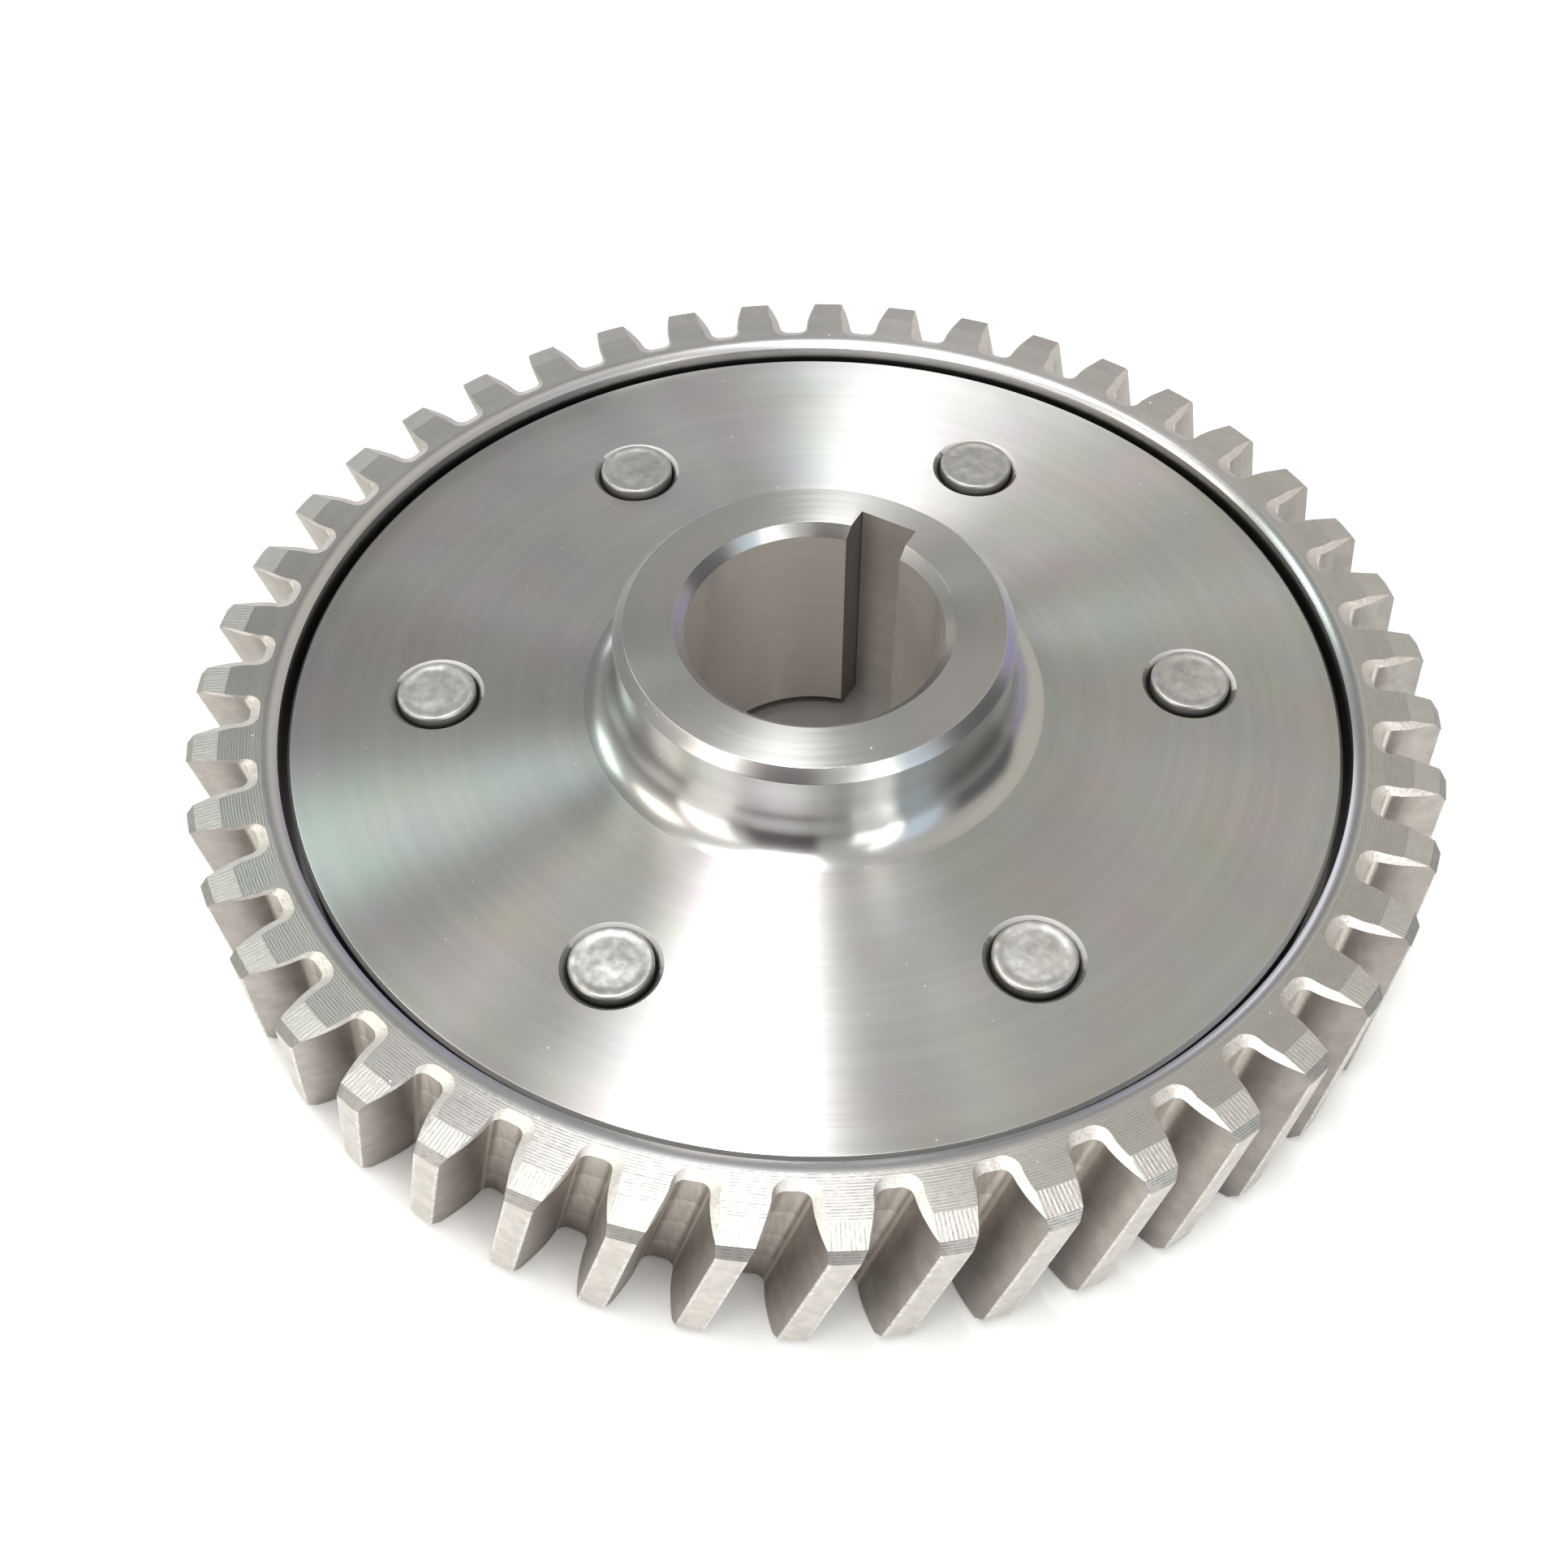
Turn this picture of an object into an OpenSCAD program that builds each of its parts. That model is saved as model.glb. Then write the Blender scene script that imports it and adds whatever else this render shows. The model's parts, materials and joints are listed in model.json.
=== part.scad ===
// Balance shaft gear: a helical toothed ring riveted to a keyed hub flange.
// The gear lies on its back face at z = 0, the hub's nose points up, and the
// keyway's centre is on +Y. Lengths are millimetres, angles are degrees.

/* [Teeth] */
// Number of teeth round the ring
tooth_count = 43; // [41:1:46]
// Module of the teeth, measured square to the helix
normal_module = 2.1; // [2.05:0.01:2.3]
// Pressure angle, measured square to the helix
pressure_deg = 14.5; // [14.5:0.5:20]
// Helix angle at the pitch circle, right hand
helix_deg = 14; // [8:0.5:20]
// Height of a tooth above the pitch circle
addendum = 2.47; // [2.2:0.01:2.7]
// Depth of a tooth space below the pitch circle
dedendum = 2.33; // [2.2:0.01:2.8]
// Thickness of a tooth along the pitch circle
tooth_thick = 3.65; // [3.4:0.05:3.8]
// Radius in the corners of a tooth space
root_fillet = 0.8; // [0.5:0.05:0.95]
// Width of the toothed face along the axis
face_w = 14.2; // [13:0.2:18]
// Angle from the keyway to a tooth's centre, at mid face width
tooth_turn_deg = -0.4; // [-4:0.1:4]

/* [Tooth ends] */
// Axial depth of the bevel at the foot of a tooth space
bevel_drop = 0.3; // [0.2:0.05:0.6]
// Axial depth of that bevel at a tooth's tip
tip_drop = 0.15; // [0.05:0.05:0.2]
// Width of the bevel on the flanks
flank_bevel = 0.4; // [0.1:0.05:0.6]
// Width of the bevel at the foot of a tooth space
root_bevel = 0.8; // [0.3:0.1:0.9]
// Radial width of the sloping band at a tooth's tip
tip_band = 1.9; // [0.5:0.1:2.4]
// Size of the chamfer on the outer diameter
tip_chamfer = 0.65; // [0.3:0.05:1.2]

/* [Ring body] */
// Thickness of the rim under the tooth spaces
rim_t = 2.2; // [2.1:0.1:3]
// Radius of the rounding on the rim's inner edges
lip_round = 1.5; // [0.5:0.1:1.6]
// Thickness of the web behind the disc
web_t = 5; // [4:0.5:6]
// Fillet between the rim and the back of the web
web_fillet = 1.5; // [0.5:0.1:2]

/* [Hub flange] */
// Outer diameter of the hub
hub_d = 31; // [29:0.5:33]
// Height of the hub's nose above the disc
hub_rise = 7.8; // [6:0.1:12]
// Chamfer on the hub's outer edges
hub_chamfer = 0.85; // [0.4:0.05:1.2]
// Fillet between the hub and the disc
hub_fillet = 2.8; // [1.5:0.1:3.5]
// Thickness of the disc
disc_t = 4.5; // [4:0.1:5.5]
// Depth of the disc below the ring's front face
disc_recess = 1.3; // [0.8:0.1:2]
// Radial gap between the disc and the rim
disc_gap = 0.5; // [0.3:0.05:1]
// Chamfer on the disc's front edge
disc_chamfer = 0.3; // [0.1:0.05:0.5]
// Diameter of the spigot that centres the web
spigot_d = 36; // [35:0.5:40]

/* [Bore and keyway] */
// Diameter of the bore
bore_d = 20; // [18:0.5:22]
// Chamfer at both ends of the bore
bore_chamfer = 0.85; // [0.3:0.05:1.2]
// Width of the keyway
key_w = 4.8; // [4:0.1:6]
// Depth of the keyway beyond the bore's wall
key_depth = 2.4; // [1.8:0.1:3]

/* [Rivets] */
// Diameter of the circle that the rivets stand on
rivet_circle_d = 60; // [56:1:64]
// Diameter of a rivet's shank
rivet_d = 6.2; // [5:0.1:7]
// Height of a rivet's upset end above the disc
rivet_rise = 0.5; // [0.2:0.1:1]
// Width of the bevel round a rivet's upset end
rivet_edge = 0.25; // [0.1:0.05:0.4]
// Depth of the dish in a rivet's upset end
dish_depth = 0.22; // [0.05:0.01:0.3]
// Width of the flat rim round that dish
dish_rim = 0.3; // [0.1:0.05:0.6]
// Chamfer at the mouth of a rivet hole
hole_chamfer = 0.6; // [0.4:0.05:0.8]
// Diameter of a rivet's head, sunk in the back of the web
rivet_head_d = 9; // [8:0.1:10]
// Thickness of that head
rivet_head_t = 1.4; // [1:0.1:2]

/* [Fits] */
// Radial clearance of the web on the spigot
spigot_clear = 0.02; // [0.01:0.01:0.1]
// Radial clearance of a rivet in its holes
rivet_clear = 0.04; // [0.02:0.01:0.1]

/* [Hidden] */
NODES = ["toothed_ring", "hub_flange", "rivet_1", "rivet_2", "rivet_3", "rivet_4", "rivet_5", "rivet_6"];
$fn = 96;

// One overrun for every cut
over = 1;

// Tooth form across the axis
transverse_module = normal_module / cos(helix_deg);
transverse_pressure = atan(tan(pressure_deg) / cos(helix_deg));
pitch_r = transverse_module * tooth_count / 2;
base_r = pitch_r * cos(transverse_pressure);
tip_r = pitch_r + addendum;
root_r = pitch_r - dedendum;
tooth_step = 360 / tooth_count;
twist_deg = face_w * tan(helix_deg) / pitch_r * 180 / PI;
key_deg = 90;

// Points along one flank, round one root corner and round the rim's lip
flank_steps = 4;
corner_steps = 3;
lip_steps = 3;

// The lip's rounding ends where it is this steep
lip_deg = 45;

// Heights along the axis
disc_top = face_w - disc_recess;
web_top = disc_top - disc_t;
web_back = web_top - web_t;
nose_z = disc_top + hub_rise;
head_seat = web_back + rivet_head_t;

// Radii of the rim, disc, hub and rivet parts
rim_in_r = root_r - rim_t;
lip_r = rim_in_r + lip_round * sin(lip_deg);
core_r = (lip_r + root_r - root_bevel) / 2;
disc_r = rim_in_r - disc_gap;
hub_r = hub_d / 2;
spigot_r = spigot_d / 2;
bore_r = bore_d / 2;
rivet_r = rivet_d / 2;
rivet_hole_r = rivet_r + rivet_clear;
rivet_head_r = rivet_head_d / 2;
rivet_circle_r = rivet_circle_d / 2;
rivet_count = len(NODES) - 2;
rivet_step = 360 / rivet_count;

// The upset end swells under the disc's face to half of the hole's chamfer
swell = hole_chamfer / 2;

// Involute of an angle, in degrees
function involute(a) = tan(a) * 180 / PI - a;

// Half of a tooth's angle at radius r
function half_tooth_deg(r) =
    tooth_thick / (2 * pitch_r) * 180 / PI + involute(transverse_pressure)
    - involute(acos(min(1, base_r / r)));

// One side of a tooth as [radius, angle from the tooth's centre], from root to tip.
// The flank is moved in by shrink, and corner is the root corner's radius.
function tooth_side(root, tip, shrink, corner) =
    let (
        mid_r = root + corner,
        foot_r = sqrt(mid_r * mid_r - corner * corner),
        foot_deg = half_tooth_deg(foot_r) - shrink / foot_r * 180 / PI,
        mid_deg = foot_deg + asin(corner / mid_r)
    )
    concat(
        [for (i = [0 : corner_steps - 1])
            let (
                turn = (90 - asin(corner / mid_r)) * i / corner_steps,
                across = corner * sin(turn),
                down = mid_r - corner * cos(turn)
            )
            [norm([across, down]), mid_deg - atan2(across, down)]],
        [for (i = [0 : flank_steps])
            let (r = foot_r + (tip - foot_r) * i / flank_steps)
            [r, half_tooth_deg(r) - shrink / r * 180 / PI]]
    );

// One outline of all the teeth as points in space, at height z in the roots and
// higher by rise at the tips
function tooth_ring_at(z, root, tip, shrink, corner, rise = 0) =
    let (
        side = tooth_side(root, tip, shrink, corner),
        last = len(side) - 1
    )
    [for (tooth = [0 : tooth_count - 1])
        for (i = [0 : 2 * last + 1])
            let (
                left = i <= last,
                p = left ? side[i] : side[2 * last + 1 - i],
                h = z + rise * (p[0] - root) / (tip - root),
                turn = key_deg + tooth_turn_deg + twist_deg * (h / face_w - 1 / 2),
                a = turn + tooth * tooth_step + (left ? -p[1] : p[1])
            )
            [p[0] * cos(a), p[0] * sin(a), h]];

// Corners of the rim's core, one under the middle of each tooth
function core_outline() =
    [for (tooth = [0 : tooth_count - 1])
        let (a = key_deg + tooth_turn_deg + tooth * tooth_step)
        [core_r * cos(a), core_r * sin(a)]];

// Band of helical teeth round the core, with bevelled tooth ends and a chamfered
// outer diameter
module tooth_band() {
    end_tip = tip_r - tip_chamfer - tip_band;
    bevel_tip = tip_r - tip_chamfer;
    end_root = root_r - root_bevel;
    end_corner = root_fillet + flank_bevel;
    low = tip_drop + tip_chamfer;
    rise = bevel_drop - tip_drop;
    rings = [
        tooth_ring_at(0, end_root, end_tip, flank_bevel, end_corner),
        tooth_ring_at(bevel_drop, root_r, bevel_tip, 0, root_fillet, -rise),
        tooth_ring_at(low, root_r, tip_r, 0, root_fillet),
        tooth_ring_at(face_w / 2, root_r, tip_r, 0, root_fillet),
        tooth_ring_at(face_w - low, root_r, tip_r, 0, root_fillet),
        tooth_ring_at(face_w - bevel_drop, root_r, bevel_tip, 0, root_fillet, rise),
        tooth_ring_at(face_w, end_root, end_tip, flank_bevel, end_corner)
    ];
    n = len(rings[0]);
    per_tooth = n / tooth_count;
    top = len(rings) - 1;
    core = core_outline();
    low_core = len(rings) * n;
    high_core = low_core + tooth_count;
    polyhedron(
        points = concat(
            [for (ring = rings) each ring],
            [for (p = core) [p[0], p[1], 0]],
            [for (p = core) [p[0], p[1], face_w]]
        ),
        faces = concat(
            // Flanks, tips, roots and bevels
            [for (k = [0 : top - 1]) for (i = [0 : n - 1])
                let (j = (i + 1) % n)
                each [[k * n + i, (k + 1) * n + i, k * n + j],
                      [k * n + j, (k + 1) * n + i, (k + 1) * n + j]]],
            // Flat ends, where each core corner fans out to its own tooth
            [for (i = [0 : n - 1])
                let (j = (i + 1) % n, c = floor(i / per_tooth))
                each [[low_core + c, i, j],
                      [high_core + c, top * n + j, top * n + i]]],
            // Rest of the flat ends, and the inner wall on the core
            [for (c = [0 : tooth_count - 1])
                let (d = (c + 1) % tooth_count, i = d * per_tooth)
                each [[low_core + c, i, low_core + d],
                      [high_core + c, high_core + d, top * n + i],
                      [low_core + c, low_core + d, high_core + c],
                      [low_core + d, high_core + d, high_core + c]]]
        ),
        convexity = 10
    );
}

// Rounding of a lip as [radius, depth under the end face], from the wall outwards
function lip_points() =
    [for (i = [lip_steps : -1 : 0])
        let (a = lip_deg * i / lip_steps)
        [lip_r - lip_round * sin(a), lip_round * (1 - cos(a))]];

// Turned hollow in front of the web, behind it and through its middle
module ring_hollows() {
    rotate_extrude() {
        // Counterbore for the disc, with a rounded lip
        polygon(concat(
            [[0, face_w + over], [0, web_top], [rim_in_r, web_top]],
            [for (p = lip_points()) [p[0], face_w - p[1]]],
            [[lip_r, face_w + over]]
        ));
        // Hollow in the back, rounded into the rim and with the same lip
        difference() {
            polygon(concat(
                [[0, -over], [0, web_back], [rim_in_r, web_back]],
                lip_points(),
                [[lip_r, -over]]
            ));
            translate([rim_in_r - web_fillet, web_back - web_fillet])
                difference() {
                    square(web_fillet + over);
                    circle(web_fillet);
                }
        }
        // Bore for the spigot
        translate([0, web_back - over])
            square([spigot_r + spigot_clear, web_t + 2 * over]);
    }
}

// Places its children at each rivet
module at_rivets() {
    for (i = [0 : rivet_count - 1])
        rotate(key_deg + i * rivet_step)
            translate([rivet_circle_r, 0, 0])
                children();
}

// Rim and web inside the teeth, with the holes for the spigot and the rivets
module rim_and_web() {
    difference() {
        linear_extrude(face_w)
            polygon(core_outline());
        ring_hollows();
        at_rivets() {
            translate([0, 0, web_back - over])
                cylinder(r = rivet_hole_r, h = web_t + 2 * over);
            translate([0, 0, web_back - over])
                cylinder(r = rivet_head_r + rivet_clear, h = rivet_head_t + over);
        }
    }
}

module toothed_ring() {
    color("lightsteelblue")
        union() {
            tooth_band();
            rim_and_web();
        }
}

// Half section of the hub, its disc and the spigot, turned about the axis
module hub_section() {
    difference() {
        union() {
            polygon([
                [0, 0],
                [hub_r - hub_chamfer, 0],
                [hub_r, hub_chamfer],
                [hub_r, web_back],
                [spigot_r, web_back],
                [spigot_r, web_top],
                [disc_r, web_top],
                [disc_r, disc_top - disc_chamfer],
                [disc_r - disc_chamfer, disc_top],
                [hub_r, disc_top],
                [hub_r, nose_z - hub_chamfer],
                [hub_r - hub_chamfer, nose_z],
                [0, nose_z]
            ]);
            translate([hub_r, disc_top])
                difference() {
                    square(hub_fillet);
                    translate([hub_fillet, hub_fillet])
                        circle(hub_fillet);
                }
        }
        polygon([
            [0, -over],
            [bore_r + bore_chamfer + over, -over],
            [bore_r, bore_chamfer],
            [bore_r, nose_z - bore_chamfer],
            [bore_r + bore_chamfer + over, nose_z + over],
            [0, nose_z + over]
        ]);
    }
}

module hub_flange() {
    color("silver")
        difference() {
            rotate_extrude()
                hub_section();
            // Keyway, open at both ends of the bore
            rotate(key_deg)
                translate([0, -key_w / 2, -over])
                    cube([bore_r + key_depth, key_w, nose_z + 2 * over]);
            at_rivets() {
                translate([0, 0, web_top - over])
                    cylinder(r = rivet_hole_r, h = disc_t + 2 * over);
                translate([0, 0, disc_top - hole_chamfer])
                    cylinder(r1 = rivet_hole_r, r2 = rivet_hole_r + hole_chamfer + over,
                        h = hole_chamfer + over);
            }
        }
}

// One rivet in place: sunk head, shank, and the upset end in the mouth of its hole
module rivet(number) {
    top = disc_top + rivet_rise;
    dish_r = rivet_r - rivet_edge - dish_rim;
    ball_r = (dish_r * dish_r + dish_depth * dish_depth) / (2 * dish_depth);
    color("gainsboro")
        rotate(key_deg + (number - 1) * rivet_step)
            translate([rivet_circle_r, 0, 0])
                difference() {
                    rotate_extrude()
                        polygon([
                            [0, web_back],
                            [rivet_head_r, web_back],
                            [rivet_head_r, head_seat],
                            [rivet_r, head_seat],
                            [rivet_r, disc_top - hole_chamfer],
                            [rivet_r + swell, disc_top - hole_chamfer + swell],
                            [rivet_r, disc_top - hole_chamfer + swell],
                            [rivet_r, top - rivet_edge],
                            [rivet_r - rivet_edge, top],
                            [0, top]
                        ]);
                    translate([0, 0, top - dish_depth + ball_r])
                        sphere(ball_r);
                }
}

module rivet_1() { rivet(1); }
module rivet_2() { rivet(2); }
module rivet_3() { rivet(3); }
module rivet_4() { rivet(4); }
module rivet_5() { rivet(5); }
module rivet_6() { rivet(6); }

toothed_ring();
hub_flange();
rivet_1();
rivet_2();
rivet_3();
rivet_4();
rivet_5();
rivet_6();
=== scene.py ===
import json
import math

import bmesh
import bpy
from bpy.props import FloatProperty, FloatVectorProperty, IntProperty, PointerProperty
from mathutils import Euler, Matrix, Vector, geometry


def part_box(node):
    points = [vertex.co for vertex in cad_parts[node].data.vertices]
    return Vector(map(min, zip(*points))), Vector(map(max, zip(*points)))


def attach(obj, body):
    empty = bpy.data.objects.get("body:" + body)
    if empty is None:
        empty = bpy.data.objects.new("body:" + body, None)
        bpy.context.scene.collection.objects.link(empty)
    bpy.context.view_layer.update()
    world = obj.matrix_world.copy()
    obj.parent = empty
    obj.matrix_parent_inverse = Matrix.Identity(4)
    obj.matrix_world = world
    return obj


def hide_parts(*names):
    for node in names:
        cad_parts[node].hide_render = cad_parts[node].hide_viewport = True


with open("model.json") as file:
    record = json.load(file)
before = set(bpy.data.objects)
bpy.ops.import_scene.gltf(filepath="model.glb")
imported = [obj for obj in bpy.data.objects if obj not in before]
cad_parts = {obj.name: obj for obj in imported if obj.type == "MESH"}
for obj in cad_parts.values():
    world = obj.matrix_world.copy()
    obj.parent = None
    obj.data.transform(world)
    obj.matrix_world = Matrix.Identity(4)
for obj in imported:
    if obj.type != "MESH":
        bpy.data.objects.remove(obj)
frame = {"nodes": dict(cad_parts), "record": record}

bl_info = {
    "name": "Balance Shaft Gear",
    "version": (1, 0, 0),
    "blender": (4, 5, 0),
    "location": "View3D > Sidebar > Gear",
    "description": "Builds a riveted helical gear with a keyed hub, its finishes and a plain stage",
    "category": "Add Mesh",
}

MM = 0.001
FULL_TURN = 2 * math.pi

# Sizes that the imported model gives
RING_LOW, RING_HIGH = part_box("toothed_ring")
HUB_LOW, HUB_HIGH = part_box("hub_flange")
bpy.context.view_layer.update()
BORE = next(m for m in frame["record"]["mounts"] if m["name"] == "bore")
RIVET_NODES = sorted(n for n in frame["nodes"] if n.startswith("rivet_"))


def length(name, description, default):
    """A size in metres that the sidebar shows."""
    return FloatProperty(name=name, description=description, default=default, unit="LENGTH",
                         precision=5, min=0.0)


def angle(name, description, degrees):
    """An angle that the sidebar shows in degrees."""
    return FloatProperty(name=name, description=description, default=math.radians(degrees),
                         subtype="ANGLE")


def colour(name, description, default):
    """A linear colour."""
    return FloatVectorProperty(name=name, description=description, default=default,
                               subtype="COLOR", size=3, min=0.0, max=1.0)


class ToothSizes(bpy.types.PropertyGroup):
    """Form of the helical teeth and their bevelled ends."""
    count: IntProperty(name="Teeth", description="Number of teeth", default=43, min=12)
    normal_module: length("Normal module", "Module square to the helix", 2.1 * MM)
    pressure: angle("Pressure angle", "Pressure angle square to the helix", 14.5)
    helix: angle("Helix angle", "Helix angle at the pitch circle, right hand", 14.0)
    addendum: length("Addendum", "Tooth height above the pitch circle", 2.47 * MM)
    dedendum: length("Dedendum", "Space depth below the pitch circle", 2.33 * MM)
    thickness: length("Thickness", "Tooth thickness on the pitch circle", 3.65 * MM)
    root_fillet: length("Root radius", "Radius in the corners of a space", 0.8 * MM)
    turn: angle("Turn", "Angle from the keyway to a tooth at mid face", -0.4)
    bevel_drop: length("Bevel drop", "Axial depth of the bevel in a space", 0.3 * MM)
    tip_drop: length("Tip drop", "Axial depth of the bevel at the tip", 0.15 * MM)
    flank_bevel: length("Flank bevel", "Width of the bevel on the flanks", 0.4 * MM)
    bevel_skew: FloatProperty(
        name="Bevel skew", default=0.5, min=0.0, max=1.0,
        description="Share by which the flank bevel is wider on the blunt side and narrower on "
                    "the sharp side")
    root_bevel: length("Root bevel", "Width of the bevel at the foot of a space", 0.8 * MM)
    tip_band: length("Tip band", "Width of the sloping band at the tip", 1.9 * MM)
    tip_chamfer: length("Tip chamfer", "Chamfer on the outer diameter", 0.65 * MM)
    tip_round: length("Tip round", "Rounding of the tip's long edges", 0.1 * MM)
    hob_feed: length("Hob feed", "Axial distance between two hob marks", 3.6 * MM)
    hob_radius: length("Hob radius", "Radius of the cutter that left the marks", 48 * MM)


class BodySizes(bpy.types.PropertyGroup):
    """Rim, web, hub, disc and bore."""
    rim: length("Rim", "Thickness of the rim under the tooth spaces", 2.2 * MM)
    lip_round: length("Lip round", "Rounding on the rim's inner edges", 1.5 * MM)
    web: length("Web", "Thickness of the web behind the disc", 5.0 * MM)
    web_fillet: length("Web fillet", "Fillet between rim and web", 1.5 * MM)
    hub_rise: length("Hub rise", "Height of the nose above the disc", 7.8 * MM)
    hub_chamfer: length("Hub chamfer", "Chamfer on the hub's outer edges", 0.85 * MM)
    hub_fillet: length("Hub fillet", "Fillet between hub and disc", 2.8 * MM)
    hub_radius: length("Hub radius", "Outer radius of the hub", 15.5 * MM)
    disc: length("Disc", "Thickness of the disc", 4.5 * MM)
    disc_chamfer: length("Disc chamfer", "Chamfer on the disc's front edge", 0.3 * MM)
    spigot_radius: length("Spigot radius", "Radius of the spigot behind the disc", 18 * MM)
    spigot_clear: length("Spigot clearance", "Radial gap round the spigot", 0.02 * MM)
    bore_chamfer: length("Bore chamfer", "Chamfer at both ends of the bore", 0.85 * MM)
    key_width: length("Keyway width", "Width of the keyway", 4.8 * MM)
    key_depth: length("Keyway depth", "Depth beyond the bore's wall", 2.4 * MM)
    edge: length("Edge break", "Rounding left on turned edges", 0.08 * MM)


class RivetSizes(bpy.types.PropertyGroup):
    """Rivets and their holes."""
    circle: length("Circle radius", "Radius of the circle of rivets", 30 * MM)
    shank: length("Shank radius", "Radius of a rivet's shank", 3.1 * MM)
    rise: length("Rise", "Height of the upset end above the disc", 0.5 * MM)
    edge: length("Edge", "Rounding round the upset end", 0.26 * MM)
    dish_depth: length("Dish depth", "Depth of the dish inside the rim", 0.10 * MM)
    dish_rim: length("Dish rim", "Width of the rim round the dish", 0.16 * MM)
    dents: length("Dents", "Height of the dents in the dish", 0.08 * MM)
    hole_chamfer: length("Hole chamfer", "Chamfer at the mouth of a hole", 0.6 * MM)
    head: length("Head radius", "Radius of the sunk head", 4.5 * MM)
    head_depth: length("Head depth", "Thickness of the sunk head", 1.4 * MM)
    clearance: length("Clearance", "Radial gap round the shank and head", 0.04 * MM)
    seed: IntProperty(name="Seed", description="Seed of the turns and dents", default=4)


class FinishColours(bpy.types.PropertyGroup):
    """Base colours of the steel finishes and the stage."""
    disc: colour("Disc", "Fine turned steel", (0.60, 0.60, 0.592))
    ring: colour("Ring", "Turned end faces", (0.49, 0.48, 0.46))
    flank: colour("Flanks", "Hobbed flanks", (0.50, 0.47, 0.44))
    nose: colour("Hub top", "Turned end of the hub", (0.52, 0.515, 0.50))
    lip: colour("Lips", "Polished lips of the rim", (0.61, 0.605, 0.615))
    band: colour("Bands", "Sloping tip bands", (0.52, 0.505, 0.48))
    wall: colour("Rim walls", "Turned walls inside the rim", (0.46, 0.45, 0.44))
    bore: colour("Bore", "Honed bore", (0.86, 0.82, 0.78))
    tip: colour("Tip lands", "Ground tip lands", (0.79, 0.76, 0.72))
    bevel: colour("Bevels", "Freshly deburred bevels", (0.72, 0.69, 0.65))
    rivet: colour("Rivets", "Upset rivet ends", (0.50, 0.495, 0.48))
    # Painted shade: the rivets' sides sit in their holes and are coloured dark for the shade there
    shade: colour("Rivet sides", "Dull sides of the rivets", (0.32, 0.31, 0.30))
    # Painted shade: dark to stand in for the shade deep in the rivet holes and in the gap round the
    # disc
    gap: colour("Gap", "Dark gap between a rivet and its hole", (0.10, 0.098, 0.095))
    floor: colour("Floor", "Glossy white table", (0.90, 0.90, 0.89))
    under: colour("Under the gear", "Table in the gear's shade", (0.25, 0.24, 0.225))


def sizes():
    """The three groups of sizes."""
    scene = bpy.context.scene
    return scene.gear_teeth, scene.gear_body, scene.gear_rivets


def face_width():
    return RING_HIGH.z


def web_levels():
    """Heights of the disc's face, the web's front and the web's back."""
    body = bpy.context.scene.gear_body
    disc_top = HUB_HIGH.z - body.hub_rise
    web_top = disc_top - body.disc
    return disc_top, web_top, web_top - body.web


# Mesh building

def add_piece(name, mesh, slot, *nodes):
    """Puts a finished mesh in the scene as a piece that stands for CAD nodes."""
    piece = bpy.data.objects.new(name, mesh)
    bpy.context.scene.collection.objects.link(piece)
    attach(piece, "root")
    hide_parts(*nodes)
    return piece


def evaluated_mesh(obj):
    """A plain mesh of an object as its modifiers leave it, with the modifiers removed."""
    graph = bpy.context.evaluated_depsgraph_get()
    mesh = bpy.data.meshes.new_from_object(obj.evaluated_get(graph))
    obj.modifiers.clear()
    bpy.data.objects.remove(obj)
    return mesh


def mesh_from(name, build):
    """A mesh filled by build(bm)."""
    mesh = bpy.data.meshes.new(name)
    bm = bmesh.new()
    build(bm)
    bm.to_mesh(mesh)
    bm.free()
    return mesh


def shade(mesh, crease=math.radians(32), soft=()):
    """Smooth faces, sharp at corners and between finishes. With soft, the pairs of zones that
    meet without an edge, the faces' zones count instead of their finishes."""
    bm = bmesh.new()
    bm.from_mesh(mesh)
    zone = bm.faces.layers.int["zone"] if soft else None
    for face in bm.faces:
        face.smooth = True
    for edge in bm.edges:
        if len(edge.link_faces) == 2:
            a, b = (f[zone] if soft else f.material_index for f in edge.link_faces)
            same = a == b or {a, b} in soft
            edge.smooth = same and edge.calc_face_angle(0) < crease
    bm.to_mesh(mesh)
    bm.free()


def rounded(points, steps=3):
    """Rounds the corners of a closed outline of (x, y, radius, finish); the finish belongs to
    the side that follows. Returns a list of (x, y, finish)."""
    result = []
    for i, (x, y, radius, finish) in enumerate(points):
        here = Vector((x, y))
        before = Vector(points[i - 1][:2]) - here
        after = Vector(points[(i + 1) % len(points)][:2]) - here
        if radius <= 0:
            result.append((x, y, finish))
            continue
        half = before.angle(after) / 2
        reach = radius / math.tan(half)
        centre = here + (before.normalized() + after.normalized()).normalized() * (
            radius / math.sin(half))
        start = here + before.normalized() * reach - centre
        turn = start.angle_signed(here + after.normalized() * reach - centre)
        for k in range(steps + 1):
            p = centre + Matrix.Rotation(-turn * k / steps, 2) @ start
            result.append((p.x, p.y, finish if k == steps else points[i - 1][3]))
    return result


def lathe(bm, outline, segments, start=0.0, sweep=FULL_TURN, closed=True):
    """Turns an outline of (radius, height, finish) about Z. Returns the rows of vertices."""
    full = sweep >= FULL_TURN
    columns = segments if full else segments + 1
    rows = []
    for r, z, finish in outline:
        rows.append([
            bm.verts.new((r * math.cos(start + sweep * k / segments),
                          r * math.sin(start + sweep * k / segments), z))
            for k in range(columns)
        ])
    pairs = len(outline) if closed else len(outline) - 1
    for i in range(pairs):
        low, high = rows[i], rows[(i + 1) % len(rows)]
        for k in range(segments):
            j = (k + 1) % columns
            bm.faces.new((low[k], low[j], high[j], high[k])).material_index = outline[i][2]
    return rows


# Toothed ring

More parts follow.
